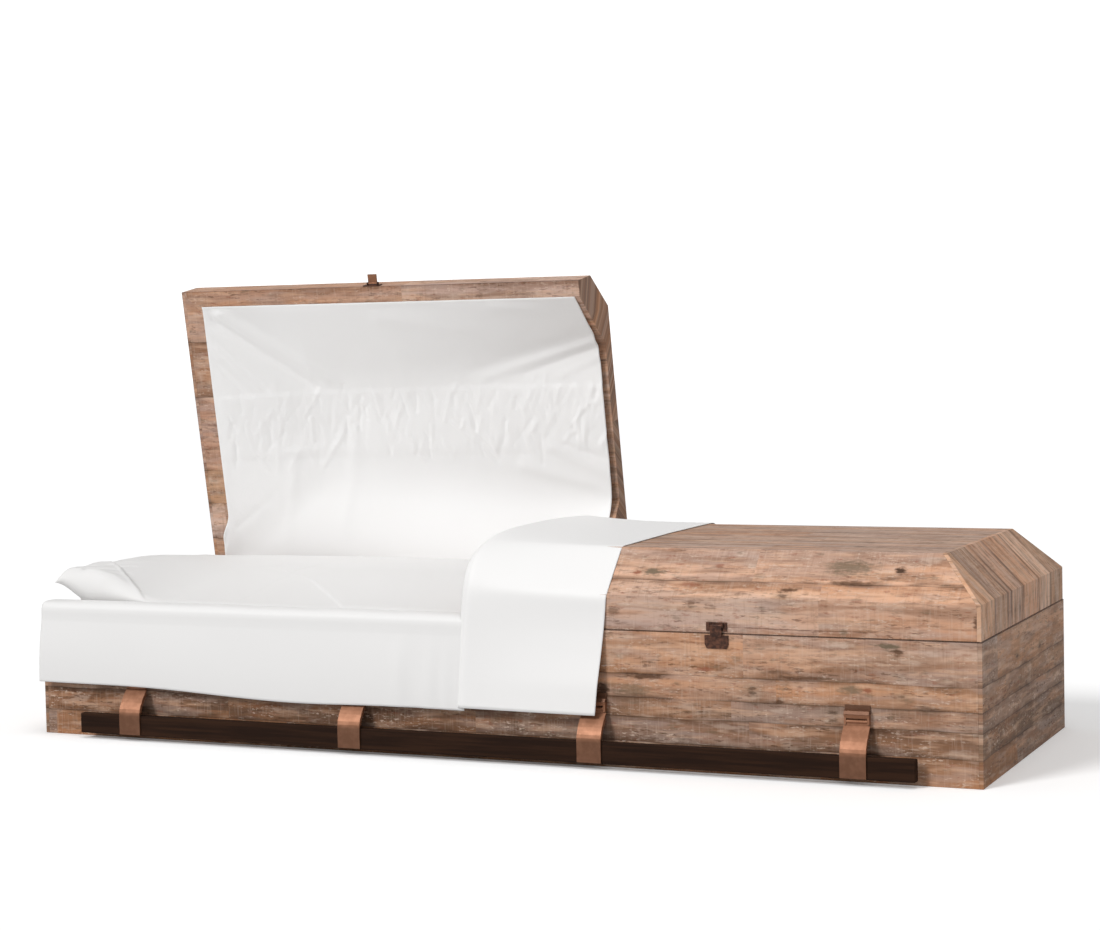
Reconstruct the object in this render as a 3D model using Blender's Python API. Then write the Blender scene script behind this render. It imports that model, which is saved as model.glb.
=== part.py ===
"""Fibreboard cremation container: a long box with a lid in two halves.

Metres, +Z up. X runs along the box, with the head end at -X. The front is at -Y.
The origin is the middle of the underside. The head half of the lid stands open,
the foot half is shut. Both turn on pins along the top edge of the back wall.
"""
import math

import bmesh
import bpy
from mathutils import Matrix, Vector

# Body, outside sizes
LENGTH = 2.080
WIDTH = 0.700
BODY_HEIGHT = 0.270
WALL = 0.036
END_FACING = 0.008
FLOOR = 0.020
GAP = 0.0003

# Lid, measured up from its own rim
LID_SKIRT = 0.068
LID_HEIGHT = 0.154
LID_BEVEL_RUN = 0.084
LID_INSET = 0.0015
LID_HOLLOW_DEPTH = 0.120
LID_HOLLOW_RUN = 0.127
LID_LINING = 0.005
LINING_BARE_STRIP = 0.012
SPLIT_GAP = 0.003
HEAD_LID_OPEN = math.radians(80.0)

# Back hinges
HINGE_OUT = 0.006
KNUCKLE_RADIUS = 0.004
HINGE_LENGTH = 0.060
HINGE_LEAF = 0.0015
HINGE_LEAF_HEIGHT = 0.030
HINGE_PLACES = (0.200, 0.850)

# Carrying bars and their swinging arms
BAR_HALF_LENGTH = 0.9225
BAR_TOP = 0.054
BAR_BOTTOM = 0.0115
BAR_OUT = 0.0185
BAR_THICKNESS = 0.018
ARM_PITCH = 0.533
ARM_COUNT = 4
ARMS_OFF_CENTRE = 0.0045
ARM_WIDTH = 0.051
ARM_PLATE = 0.003
ARM_FOOT = 0.0130
ARM_FLANGE_DEPTH = 0.006
ARM_FLANGE_THICKNESS = 0.002
ARM_FLANGE_TOP = 0.1025
PIVOT_OUT = 0.0075
PIVOT_HEIGHT = 0.1150
PIVOT_RADIUS = 0.0035
PIVOT_HALF_WIDTH = 0.020
LUG_WIDTH = 0.049
LUG_TOP = 0.1450
LUG_BOTTOM = 0.1095
LUG_STEP_LOW = 0.1210
LUG_STEP_HIGH = 0.1370
LUG_PLATE = 0.003
LUG_NOSE = 0.0125

# Latches
LATCH_X = 0.526
CATCH_TOP = 0.2665
CATCH_HEIGHT = 0.0255
CATCH_WIDTH = 0.048
CATCH_FOOT_WIDTH = 0.040
LATCH_PLATE = 0.002
HASP_BASE_WIDTH = 0.042
HASP_BASE_LOW = 0.0045
HASP_BASE_HIGH = 0.0215
HASP_PIN_UP = 0.0155
HASP_PIN_OUT = 0.0050
HASP_RADIUS = 0.0022
HASP_WIDTH = 0.023
HASP_LENGTH = 0.0215

# Bedding
MATTRESS_TOP = 0.120
MATTRESS_MARGIN = 0.014
WALL_LINING = 0.003
RIM_CLEARANCE = 0.008
OVERLAY_UNDERSIDE = 0.254
OVERLAY_TOP = 0.333
OVERLAY_HEAD_EDGE = 0.612
OVERLAY_FOOT_EDGE = 0.030
PILLOW_TOP = 0.346
PILLOW_OVERHANG = 0.026
PILLOW_GAP = 0.006

# Cloth over the edges
CLOTH = 0.004
DRAPE_FLARE = 0.020
DRAPE_HEM_HEAD = 0.118
DRAPE_HEM = 0.099
DRAPE_HEM_LEVELS_AT = -0.320
THROW_LEFT = 0.004
THROW_RIGHT = 0.286
THROW_RIGHT_AT_SKIRT = 0.300
THROW_RIGHT_AT_RIM = 0.292
THROW_RIGHT_AT_HEM = 0.270
THROW_LEFT_AT_HEM = -0.030
THROW_HEM = 0.104
THROW_FLARE = 0.0264
THROW_OVER_DRAPE = 0.0105

HALF_LENGTH = LENGTH / 2
HALF_WIDTH = WIDTH / 2
LID_HALF_WIDTH = HALF_WIDTH - LID_INSET
LID_END = HALF_LENGTH - LID_INSET
HINGE_AXIS = Vector((0.0, HALF_WIDTH + HINGE_OUT, BODY_HEIGHT))
ROUND_SIDES = 16


def clear_scene():
    for old in list(bpy.data.objects):
        bpy.data.objects.remove(old, do_unlink=True)


def finish(name, colour, roughness, metallic=0.0):
    """A plain surface of one colour."""
    material = bpy.data.materials.new(name)
    material.use_nodes = True
    shader = material.node_tree.nodes["Principled BSDF"]
    shader.inputs["Base Color"].default_value = (*colour, 1.0)
    shader.inputs["Roughness"].default_value = roughness
    shader.inputs["Metallic"].default_value = metallic
    material.diffuse_color = (*colour, 1.0)
    return material


def printed_board(name):
    return finish(name, (0.36, 0.23, 0.15), 0.62)


def white_cloth(name):
    return finish(name, (0.83, 0.82, 0.82), 0.55)


def copper(name):
    return finish(name, (0.50, 0.26, 0.16), 0.38, 1.0)


def old_bronze(name):
    return finish(name, (0.12, 0.07, 0.04), 0.45, 1.0)


def dark_wood(name):
    return finish(name, (0.020, 0.010, 0.007), 0.45)


def add_object(name, mesh_builder, material):
    """Turn a bmesh into a named object whose faces point outwards."""
    bmesh.ops.remove_doubles(mesh_builder, verts=mesh_builder.verts, dist=1e-6)
    bmesh.ops.recalc_face_normals(mesh_builder, faces=mesh_builder.faces)
    mesh = bpy.data.meshes.new(name)
    mesh_builder.to_mesh(mesh)
    mesh_builder.free()
    obj = bpy.data.objects.new(name, mesh)
    bpy.context.scene.collection.objects.link(obj)
    obj.data.materials.append(material)
    return obj


def smooth(obj, angle=35.0):
    obj.data.shade_smooth()
    obj.data.set_sharp_from_angle(angle=math.radians(angle))


def loft(name, rings, material):
    """Skin a stack of rings that have the same number of points, and cap both ends."""
    bm = bmesh.new()
    rows = [[bm.verts.new(point) for point in ring] for ring in rings]
    count = len(rows[0])
    for low, high in zip(rows, rows[1:]):
        for i in range(count):
            j = (i + 1) % count
            bm.faces.new((low[i], low[j], high[j], high[i]))
    bm.faces.new(rows[0])
    bm.faces.new(rows[-1])
    return add_object(name, bm, material)


def prism(name, outline, x_low, x_high, material):
    """Push a (y, z) outline along X."""
    rings = [[(x, y, z) for y, z in outline] for x in (x_low, x_high)]
    return loft(name, rings, material)


def block(name, low, high, material):
    (y0, z0), (y1, z1) = low[1:], high[1:]
    outline = ((y0, z0), (y1, z0), (y1, z1), (y0, z1))
    return prism(name, outline, low[0], high[0], material)


def circle(y, z, radius, sides=ROUND_SIDES):
    turns = [2 * math.pi * i / sides for i in range(sides)]
    return [(y + radius * math.cos(a), z + radius * math.sin(a)) for a in turns]


def guide(obj):
    """Hide a shape that only cuts or joins another."""
    obj.hide_render = True
    obj.display_type = "WIRE"
    return obj


def fuse(target, extras):
    """Join overlapping shapes to the target, as welded or cast."""
    for extra in extras:
        guide(extra)
        union = target.modifiers.new("join " + extra.name, "BOOLEAN")
        union.operation = "UNION"
        union.object = extra
    return target


def bevel_edges(obj, width, segments=1):
    modifier = obj.modifiers.new("eased edges", "BEVEL")
    modifier.width = width
    modifier.segments = segments
    modifier.limit_method = "ANGLE"
    modifier.angle_limit = math.radians(40)


def pivot(name, point, angle=0.0, parent=None):
    """An empty on a joint's axis, turned about X."""
    empty = bpy.data.objects.new(name, None)
    bpy.context.scene.collection.objects.link(empty)
    empty.location = point
    empty.rotation_euler = (angle, 0.0, 0.0)
    empty.parent = parent
    return empty


def hang_on(empty, axis_point, pieces):
    """Give pieces modelled in place their origin on the axis, and let them turn with it."""
    for piece in pieces:
        piece.data.transform(Matrix.Translation(-axis_point))
        piece.parent = empty


def rounded_ring(x0, x1, y0, y1, radius, z, steps=3):
    """A rectangle with round corners, at one height."""
    corners = (
        (x1 - radius, y1 - radius, 0.0),
        (x0 + radius, y1 - radius, 90.0),
        (x0 + radius, y0 + radius, 180.0),
        (x1 - radius, y0 + radius, 270.0),
    )
    ring = []
    for cx, cy, start in corners:
        for i in range(steps + 1):
            a = math.radians(start + 90.0 * i / steps)
            ring.append((cx + radius * math.cos(a), cy + radius * math.sin(a), z))
    return ring


def offset_path(path, distance):
    """Move a (y, z) path sideways to its left, with mitred corners."""
    points = [Vector(p) for p in path]
    normals = []
    for a, b in zip(points, points[1:]):
        run = (b - a).normalized()
        normals.append(Vector((-run.y, run.x)))
    moved = []
    for i, point in enumerate(points):
        before = normals[max(i - 1, 0)]
        after = normals[min(i, len(normals) - 1)]
        middle = (before + after).normalized()
        moved.append(point + middle * (distance / max(middle.dot(after), 0.3)))
    return [(p.x, p.y) for p in moved]


# Body

def make_body():
    inner_x = HALF_LENGTH - WALL
    facing_x = HALF_LENGTH - END_FACING
    inner_y = HALF_WIDTH - WALL
    wall_x = facing_x - GAP
    for name, sign in (("body_front_wall", -1), ("body_back_wall", 1)):
        ys = sorted((sign * inner_y, sign * HALF_WIDTH))
        block(name, (-wall_x, ys[0], 0.0), (wall_x, ys[1], BODY_HEIGHT), printed_board(name))
    for end, sign in (("head", -1), ("foot", 1)):
        xs = sorted((sign * inner_x, sign * wall_x))
        name = f"body_{end}_wall"
        y = inner_y - GAP
        block(name, (xs[0], -y, 0.0), (xs[1], y, BODY_HEIGHT), printed_board(name))
        xs = sorted((sign * facing_x, sign * HALF_LENGTH))
        name = f"body_{end}_facing"
        block(name, (xs[0], -HALF_WIDTH, 0.0), (xs[1], HALF_WIDTH, BODY_HEIGHT),
              printed_board(name))
    x, y = inner_x - GAP, inner_y - GAP
    block("body_floor", (-x, -y, 0.0), (x, y, FLOOR), printed_board("body_floor"))


def make_wall_lining():
    """A thin white skirt that lines the four walls inside."""
    x = HALF_LENGTH - WALL - GAP
    y = HALF_WIDTH - WALL - GAP
    low, high = FLOOR + GAP, BODY_HEIGHT - RIM_CLEARANCE
    bm = bmesh.new()
    rows = []
    for shrink, z in ((0.0, low), (0.0, high), (WALL_LINING, high), (WALL_LINING, low)):
        a, b = x - shrink, y - shrink
        rows.append([bm.verts.new(p) for p in ((-a, -b, z), (a, -b, z), (a, b, z), (-a, b, z))])
    for row, following in zip(rows, rows[1:] + rows[:1]):
        for i in range(4):
            j = (i + 1) % 4
            bm.faces.new((row[i], row[j], following[j], following[i]))
    add_object("wall_lining", bm, white_cloth("wall_lining"))


def make_mattress():
    x = HALF_LENGTH - WALL - MATTRESS_MARGIN
    y = HALF_WIDTH - WALL - MATTRESS_MARGIN
    low, high = FLOOR + GAP, MATTRESS_TOP
    crown = 0.018
    rings = [
        rounded_ring(-x + crown, x - crown, -y + crown, y - crown, 0.040, low),
        rounded_ring(-x, x, -y, y, 0.050, low + crown),
        rounded_ring(-x, x, -y, y, 0.050, high - crown),
        rounded_ring(-x + crown, x - crown, -y + crown, y - crown, 0.040, high),
    ]
    smooth(loft("mattress", rings, white_cloth("mattress")))


def make_overlay():
    """The padded bed cover that spans the head half at rim height."""
    x0, x1 = -OVERLAY_HEAD_EDGE, -OVERLAY_FOOT_EDGE
    y = HALF_WIDTH - WALL - WALL_LINING - 0.004
    stages = (
        (OVERLAY_UNDERSIDE, 0.012, 0.0),
        (OVERLAY_UNDERSIDE + 0.010, 0.0, 0.0),
        (BODY_HEIGHT, 0.006, 0.004),
        (BODY_HEIGHT + 0.022, 0.030, 0.012),
        (BODY_HEIGHT + 0.045, 0.058, 0.022),
        (OVERLAY_TOP - 0.006, 0.090, 0.035),
        (OVERLAY_TOP, 0.140, 0.070),
    )
    rings = []
    for z, side, end in stages:
        rings.append(rounded_ring(x0 + end, x1 - end, -y + side, y - side, 0.022, z))
    smooth(loft("bed_overlay", rings, white_cloth("bed_overlay")))


def make_pillow():
    """Stands on the mattress against the head wall and swells out over its rim."""
    x_wall = -(HALF_LENGTH - WALL - WALL_LINING - 0.004)
    x_out = x_wall - WALL - WALL_LINING + 0.004 + 0.012
    x1 = -OVERLAY_HEAD_EDGE - PILLOW_GAP
    y = HALF_WIDTH - WALL - WALL_LINING - 0.012
    rim = BODY_HEIGHT
    stages = (
        (MATTRESS_TOP + GAP, x_wall + 0.030, 0.040, 0.030),
        (MATTRESS_TOP + 0.030, x_wall + 0.004, 0.010, 0.0),
        (rim - 0.012, x_wall, 0.0, 0.0),
        (rim + 0.003, x_wall - 0.004, 0.004, 0.0),
        (rim + 0.012, x_out + 0.010, 0.006, 0.002),
        (rim + 0.030, x_out, 0.016, 0.006),
        (rim + 0.048, x_out + 0.012, 0.034, 0.016),
        (PILLOW_TOP - 0.010, x_out + 0.050, 0.066, 0.040),
        (PILLOW_TOP, x_out + 0.110, 0.120, 0.080),
    )
    rings = []
    for z, x0, side, end in stages:
        rings.append(rounded_ring(x0, x1 - end, -y + side, y - side, 0.040, z))
    smooth(loft("pillow", rings, white_cloth("pillow")))


def make_front_drape():
    """Cloth laid over the front rim of the head half and hanging down outside."""
    rim = BODY_HEIGHT + GAP
    front = -(HALF_WIDTH + GAP + 0.0002)
    lug_cover = front - DRAPE_FLARE
    stations = (-HALF_LENGTH + 0.002, DRAPE_HEM_LEVELS_AT, -0.004)
    hems = (DRAPE_HEM_HEAD, DRAPE_HEM, DRAPE_HEM)
    rings = []
    for x, hem in zip(stations, hems):
        path = (
            (-(HALF_WIDTH - WALL), rim),
            (front - 0.0025, rim),
            (front - 0.0045, rim - 0.020),
            (lug_cover, 0.150),
            (lug_cover - 0.002, hem),
        )
        outer = offset_path(path, -CLOTH)
        outline = list(path) + outer[::-1]
        rings.append([(x, y, z) for y, z in outline])
    loft("front_drape", rings, white_cloth("front_drape"))


# Lid halves

def lid_section(x, sign):
    """Outside corners of the lid across the box at one distance from the split."""
    y, top_y = LID_HALF_WIDTH, LID_HALF_WIDTH - LID_BEVEL_RUN
    z0 = BODY_HEIGHT + GAP
    z1, z2 = BODY_HEIGHT + LID_SKIRT, BODY_HEIGHT + LID_HEIGHT
    pairs = ((-y, z0), (-y, z1), (-top_y, z2), (top_y, z2), (y, z1), (y, z0))
    return [(sign * x, py, pz) for py, pz in pairs]


def make_lid_shell(name, sign):
    """Thick-walled cap, open at the rim and at the cut end."""
    x_cut = SPLIT_GAP / 2
    x_end = LID_END - END_FACING - GAP
    x_top = x_end - LID_BEVEL_RUN
    y, top_y = LID_HALF_WIDTH, LID_HALF_WIDTH - LID_BEVEL_RUN
    rim_y = LID_HALF_WIDTH - WALL
    deep_y = rim_y - LID_HOLLOW_RUN
    rim_x = LID_END - WALL
    deep_x = rim_x - LID_HOLLOW_RUN
    z0 = BODY_HEIGHT + GAP
    z1, z2 = BODY_HEIGHT + LID_SKIRT, BODY_HEIGHT + LID_HEIGHT
    z_deep = BODY_HEIGHT + LID_HOLLOW_DEPTH
    bm = bmesh.new()

    def row(points):
        return [bm.verts.new((sign * px, py, pz)) for px, py, pz in points]

    cut = row([(x_cut, py, pz) for _, py, pz in lid_section(0.0, 1)])
    end_low = row(((x_end, -y, z0), (x_end, y, z0)))
    end_mid = row(((x_end, -y, z1), (x_end, y, z1)))
    end_top = row(((x_top, -top_y, z2), (x_top, top_y, z2)))
    cut_in = row(((x_cut, -rim_y, z0), (x_cut, -deep_y, z_deep),
                  (x_cut, deep_y, z_deep), (x_cut, rim_y, z0)))
    rim_in = row(((rim_x, -rim_y, z0), (rim_x, rim_y, z0)))
    deep_in = row(((deep_x, -deep_y, z_deep), (deep_x, deep_y, z_deep)))
    faces = (
        (cut[0], end_low[0], end_mid[0], cut[1]),
        (cut[1], end_mid[0], end_top[0], cut[2]),
        (cut[2], end_top[0], end_top[1], cut[3]),
        (cut[3], end_top[1], end_mid[1], cut[4]),
        (cut[4], end_mid[1], end_low[1], cut[5]),
        (end_low[0], end_low[1], end_mid[1], end_mid[0]),
        (end_mid[0], end_mid[1], end_top[1], end_top[0]),
        (cut[0], cut_in[0], rim_in[0], end_low[0]),
        (end_low[0], rim_in[0], rim_in[1], end_low[1]),
        (end_low[1], rim_in[1], cut_in[3], cut[5]),
        (cut_in[0], cut_in[1], deep_in[0], rim_in[0]),
        (rim_in[0], deep_in[0], deep_in[1], rim_in[1]),
        (rim_in[1], deep_in[1], cut_in[2], cut_in[3]),
        (cut_in[1], cut_in[2], deep_in[1], deep_in[0]),
        (cut[0], cut[1], cut_in[1], cut_in[0]),
        (cut[1], cut[2], cut_in[1]),
        (cut[2], cut[3], cut_in[2], cut_in[1]),
        (cut[3], cut[4], cut_in[2]),
        (cut[4], cut[5], cut_in[3], cut_in[2]),
    )
    for corners in faces:
        bm.faces.new(corners)
    return add_object(name, bm, printed_board(name))


def make_lid_facing(name, sign):
    """The board that closes the far end: an upright skirt and the slope above it."""
    y, top_y = LID_HALF_WIDTH, LID_HALF_WIDTH - LID_BEVEL_RUN
    z0 = BODY_HEIGHT + GAP
    z1, z2 = BODY_HEIGHT + LID_SKIRT, BODY_HEIGHT + LID_HEIGHT
    rings = []
    for x, half, z in ((LID_END, y, z0), (LID_END, y, z1), (LID_END - LID_BEVEL_RUN, top_y, z2)):
        back = x - END_FACING
        corners = ((x, -half, z), (x, half, z), (back, half, z), (back, -half, z))
        rings.append([(sign * px, py, pz) for px, py, pz in corners])
    return loft(name, rings, printed_board(name))


def make_lid_lining(name, sign):
    """White lining on the sloping sides and the ceiling of the hollow."""
    slope = math.atan2(LID_HOLLOW_RUN, LID_HOLLOW_DEPTH)
    shift = LID_LINING / math.cos(slope)
    bare = LINING_BARE_STRIP
    x_cut = SPLIT_GAP / 2 + bare
    rim_y = LID_HALF_WIDTH - WALL - GAP
    rim_x = LID_END - WALL - GAP
    run_per_depth = LID_HOLLOW_RUN / LID_HOLLOW_DEPTH
    low, deep = 0.002, LID_HOLLOW_DEPTH - GAP
    bm = bmesh.new()

    def tray(inward, start, bottom):
        """Corners of the lining on one of its two faces."""
        y_low = rim_y - inward - run_per_depth * start
        y_deep = rim_y - inward - run_per_depth * bottom
        x_low = rim_x - inward - run_per_depth * (start + bare)
        x_deep = rim_x - inward - run_per_depth * bottom
        z_low, z_end = BODY_HEIGHT + start, BODY_HEIGHT + start + bare
        z_deep = BODY_HEIGHT + bottom
        points = (
            (x_cut, -y_low, z_low), (x_cut, -y_deep, z_deep),
            (x_cut, y_deep, z_deep), (x_cut, y_low, z_low),
            (x_low, -y_low + run_per_depth * bare, z_end), (x_deep, -y_deep, z_deep),
            (x_deep, y_deep, z_deep), (x_low, y_low - run_per_depth * bare, z_end),
        )
        return [bm.verts.new((sign * px, py, pz)) for px, py, pz in points]

    back = tray(0.0, low, deep)
    front = tray(shift, low, deep - LID_LINING)
    panels = ((0, 1, 5, 4), (1, 2, 6, 5), (2, 3, 7, 6), (4, 5, 6, 7))
    edge = (0, 4, 7, 3, 2, 1)
    for side in (back, front):
        for corners in panels:
            bm.faces.new([side[i] for i in corners])
    for i, j in zip(edge, edge[1:] + edge[:1]):
        bm.faces.new((back[i], back[j], front[j], front[i]))
    return add_object(name, bm, white_cloth(name))


def make_throw():
    """Cloth laid across the cut end of the foot lid, hanging down in front."""
    y, top_y = LID_HALF_WIDTH, LID_HALF_WIDTH - LID_BEVEL_RUN
    z1, z2 = BODY_HEIGHT + LID_SKIRT, BODY_HEIGHT + LID_HEIGHT
    lift = 2 * GAP
    front = -(HALF_WIDTH + 0.0012)
    back_share = 0.45
    path = (
        (top_y + LID_BEVEL_RUN * back_share, z2 + lift - (z2 - z1) * back_share),
        (top_y, z2 + lift),
        (-top_y, z2 + lift),
        (-y - lift, z1),
        (front, BODY_HEIGHT + 0.012),
        (-HALF_WIDTH - THROW_OVER_DRAPE, BODY_HEIGHT - 0.020),
        (-HALF_WIDTH - THROW_FLARE, 0.150),
        (-HALF_WIDTH - THROW_FLARE - 0.002, THROW_HEM),
    )
    left, right = THROW_LEFT, THROW_RIGHT
    lefts = (left, left, left, left, left, 0.0, -0.022, THROW_LEFT_AT_HEM)
    rights = (right, right, right, THROW_RIGHT_AT_SKIRT, THROW_RIGHT_AT_RIM,
              THROW_RIGHT_AT_RIM - 0.003, THROW_RIGHT_AT_HEM + 0.008, THROW_RIGHT_AT_HEM)
    outer = offset_path(path, -CLOTH)
    rings = []
    for (y0, z0), (y3, z3), x0, x3 in zip(path, outer, lefts, rights):
        rings.append(((x0, y0, z0), (x3, y0, z0), (x3, y3, z3), (x0, y3, z3)))
    return loft("throw", rings, white_cloth("throw"))


# Back hinges

def leaf_outline(up):
    """Leaf and its neck, from the knuckle away from the axis, as (y, z) corners."""
    axis_z = HINGE_AXIS.z
    face = HALF_WIDTH + GAP if up < 0 else LID_HALF_WIDTH + GAP
    near, far = KNUCKLE_RADIUS + 0.001, HINGE_LEAF_HEIGHT
    return ((face, axis_z + up * near), (face + HINGE_LEAF, axis_z + up * near),
            (face + HINGE_LEAF, axis_z + up * far), (face, axis_z + up * far))


def neck_outline(up):
    axis_y, axis_z = HINGE_AXIS.y, HINGE_AXIS.z
    face = HALF_WIDTH + GAP if up < 0 else LID_HALF_WIDTH + GAP
    reach = KNUCKLE_RADIUS + 0.004
    return ((face, axis_z + up * 0.0012), (axis_y, axis_z + up * 0.0012),
            (axis_y, axis_z + up * 0.0030), (face + HINGE_LEAF, axis_z + up * reach),
            (face, axis_z + up * reach))


def make_hinge_leaf(name, x, up):
    """up is 1 for the lid's leaf, with one knuckle, and -1 for the body's, with two."""
    half = HINGE_LENGTH / 2
    inner = half / 3
    spans = ((-inner + GAP, inner - GAP),) if up > 0 else ((-half, -inner), (inner, half))
    leaf = prism(name, leaf_outline(up), x - half, x + half, old_bronze(name))
    extras = []
    for i, (low, high) in enumerate(spans):
        barrel = circle(HINGE_AXIS.y, HINGE_AXIS.z, KNUCKLE_RADIUS)
        metal = leaf.data.materials[0]
        extras.append(prism(f"{name}_neck{i}", neck_outline(up), x + low, x + high, metal))
        extras.append(prism(f"{name}_knuckle{i}", barrel, x + low, x + high, metal))
    return fuse(leaf, extras), extras


# Latches

def make_catch_plate(name, x):
    """Small tapered plate screwed to the front wall below the parting line."""
    face = -(HALF_WIDTH + GAP)
    top, low = CATCH_TOP, CATCH_TOP - CATCH_HEIGHT
    rings = []
    for y in (face, face - LATCH_PLATE):
        rings.append((
            (x - CATCH_FOOT_WIDTH / 2, y, low), (x + CATCH_FOOT_WIDTH / 2, y, low),
            (x + CATCH_WIDTH / 2, y, low + 0.008), (x + CATCH_WIDTH / 2, y, top),
            (x - CATCH_WIDTH / 2, y, top), (x - CATCH_WIDTH / 2, y, low + 0.008),
        ))
    return loft(name, rings, old_bronze(name))


def hasp_axis(x):
    return Vector((x, -LID_HALF_WIDTH - HASP_PIN_OUT, BODY_HEIGHT + HASP_PIN_UP))


def make_hasp_base(name, x):
    """Plate on the lid's skirt with an ear at each side of the tongue's barrel."""
    face = -(LID_HALF_WIDTH + GAP)
    axis = hasp_axis(x)
    low, high = BODY_HEIGHT + HASP_BASE_LOW, BODY_HEIGHT + HASP_BASE_HIGH
    half = HASP_BASE_WIDTH / 2
    metal = old_bronze(name)
    plate = ((face, low), (face - LATCH_PLATE, low), (face - LATCH_PLATE, high), (face, high))
    base = prism(name, plate, x - half, x + half, metal)
    reach = 0.0030
    ear = ((face - LATCH_PLATE / 2, axis.z - reach), (axis.y - reach, axis.z - reach),
           (axis.y - reach, axis.z + reach), (face - LATCH_PLATE / 2, axis.z + reach))
    ears = []
    ear_in = HASP_WIDTH / 2 + GAP
    for i, side in enumerate((-1, 1)):
        xs = sorted((x + side * ear_in, x + side * (ear_in + 0.003)))
        ears.append(prism(f"{name}_ear{i}", ear, xs[0], xs[1], metal))
    return fuse(base, ears), ears


def make_hasp(name, x):
    """The tongue, modelled hanging down over the parting line."""
    axis = hasp_axis(x)
    half = HASP_WIDTH / 2
    metal = copper(name)
    back, front = axis.y + HASP_RADIUS - 0.0016, axis.y - HASP_RADIUS + 0.0006
    low = axis.z - HASP_LENGTH
    tongue = ((back, axis.z), (front, axis.z), (front, low), (back, low))
    plate = prism(name, tongue, x - half, x + half, metal)
    barrel = prism(f"{name}_barrel", circle(axis.y, axis.z, HASP_RADIUS), x - half, x + half, metal)
    return fuse(plate, [barrel]), [barrel]


# Carrying bars

def arm_places():
    first = ARMS_OFF_CENTRE - ARM_PITCH * (ARM_COUNT - 1) / 2
    return [first + ARM_PITCH * i for i in range(ARM_COUNT)]


def out_from_wall(side, out):
    """The y of a point that stands off the front (side -1) or back (side 1) wall."""
    return side * (HALF_WIDTH + out)


def make_lug(name, x, side):
    """Wall plate with a nose above the arm's barrel and an ear at each side of it."""
    metal = copper(name)

    def corners(points):
        return [(out_from_wall(side, out), z) for out, z in points]

    profile = corners((
        (GAP, LUG_TOP), (LUG_PLATE, LUG_TOP), (LUG_PLATE, LUG_STEP_HIGH),
        (LUG_NOSE - 0.0025, LUG_STEP_HIGH - 0.002), (LUG_NOSE, (LUG_STEP_LOW + LUG_STEP_HIGH) / 2),
        (LUG_NOSE - 0.0025, LUG_STEP_LOW), (LUG_PLATE, LUG_STEP_LOW),
        (LUG_PLATE, LUG_BOTTOM), (GAP, LUG_BOTTOM),
    ))
    half = LUG_WIDTH / 2
    lug = prism(name, profile, x - half, x + half, metal)
    ear = corners(((LUG_PLATE / 2, LUG_BOTTOM), (PIVOT_OUT + PIVOT_RADIUS, LUG_BOTTOM),
                   (PIVOT_OUT + PIVOT_RADIUS, LUG_STEP_LOW + 0.002),
                   (LUG_PLATE / 2, LUG_STEP_LOW + 0.002)))
    ears = []
    for i, turn in enumerate((-1, 1)):
        xs = sorted((x + turn * (PIVOT_HALF_WIDTH + GAP), x + turn * half))
        ears.append(prism(f"{name}_ear{i}", ear, xs[0], xs[1], metal))
    return fuse(lug, ears)


def arm_path():
    """Middle line of the strap as (out, z): it bows outwards, then drops over the bar."""
    bar_front = BAR_OUT + BAR_THICKNESS + GAP + ARM_PLATE / 2
    top = PIVOT_HEIGHT - 0.008
    steps = 8
    points = []
    for i in range(steps + 1):
        t = i / steps
        out = PIVOT_OUT + (bar_front - PIVOT_OUT) * math.sin(t * math.pi / 2)
        points.append((out, top + (BAR_TOP - top) * t))
    points.append((bar_front, ARM_FOOT))
    return points


def make_arm_flanges(name, x, side, path, metal):
    """The strap's turned-back edges, between its neck and the bar."""
    behind = offset_path(path, -ARM_FLANGE_DEPTH)
    inside = offset_path(path, -ARM_PLATE / 4)
    kept = [i for i, (_, z) in enumerate(path) if BAR_TOP + 0.001 < z < ARM_FLANGE_TOP]
    outline = [inside[i] for i in kept] + [behind[i] for i in reversed(kept)]
    outline = [(out_from_wall(side, out), z) for out, z in outline]
    half = ARM_WIDTH / 2
    flanges = []
    for i, turn in enumerate((-1, 1)):
        xs = sorted((x + turn * half, x + turn * (half - ARM_FLANGE_THICKNESS)))
        flanges.append(prism(f"{name}_flange{i}", outline, xs[0], xs[1], metal))
    return flanges


def make_arm(name, x, side):
    """Copper strap from the lug's pin down to the bar."""
    metal = copper(name)
    path = arm_path()
    outer = offset_path(path, ARM_PLATE / 2)
    inner = offset_path(path, -ARM_PLATE / 2)
    half = ARM_WIDTH / 2
    outline = [(out_from_wall(side, out), z) for out, z in outer + inner[::-1]]
    strap = prism(name, outline, x - half, x + half, metal)
    half = PIVOT_HALF_WIDTH
    near, far = PIVOT_OUT - ARM_PLATE / 2, PIVOT_OUT + ARM_PLATE / 2
    foot = path[1][1]
    corners = ((near, PIVOT_HEIGHT), (far, PIVOT_HEIGHT), (far, foot), (near, foot))
    outline = [(out_from_wall(side, out), z) for out, z in corners]
    neck = prism(f"{name}_neck", outline, x - half, x + half, metal)
    centre = out_from_wall(side, PIVOT_OUT)
    barrel = prism(f"{name}_barrel", circle(centre, PIVOT_HEIGHT, PIVOT_RADIUS),
                   x - half, x + half, metal)
    joined = [neck, barrel] + make_arm_flanges(name, x, side, path, metal)
    return fuse(strap, joined), joined


def make_bar(name, side):
    ys = sorted((out_from_wall(side, BAR_OUT), out_from_wall(side, BAR_OUT + BAR_THICKNESS)))
    bar = block(name, (-BAR_HALF_LENGTH, ys[0], BAR_BOTTOM), (BAR_HALF_LENGTH, ys[1], BAR_TOP),
                dark_wood(name))
    bevel_edges(bar, 0.0015)
    return bar


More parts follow.
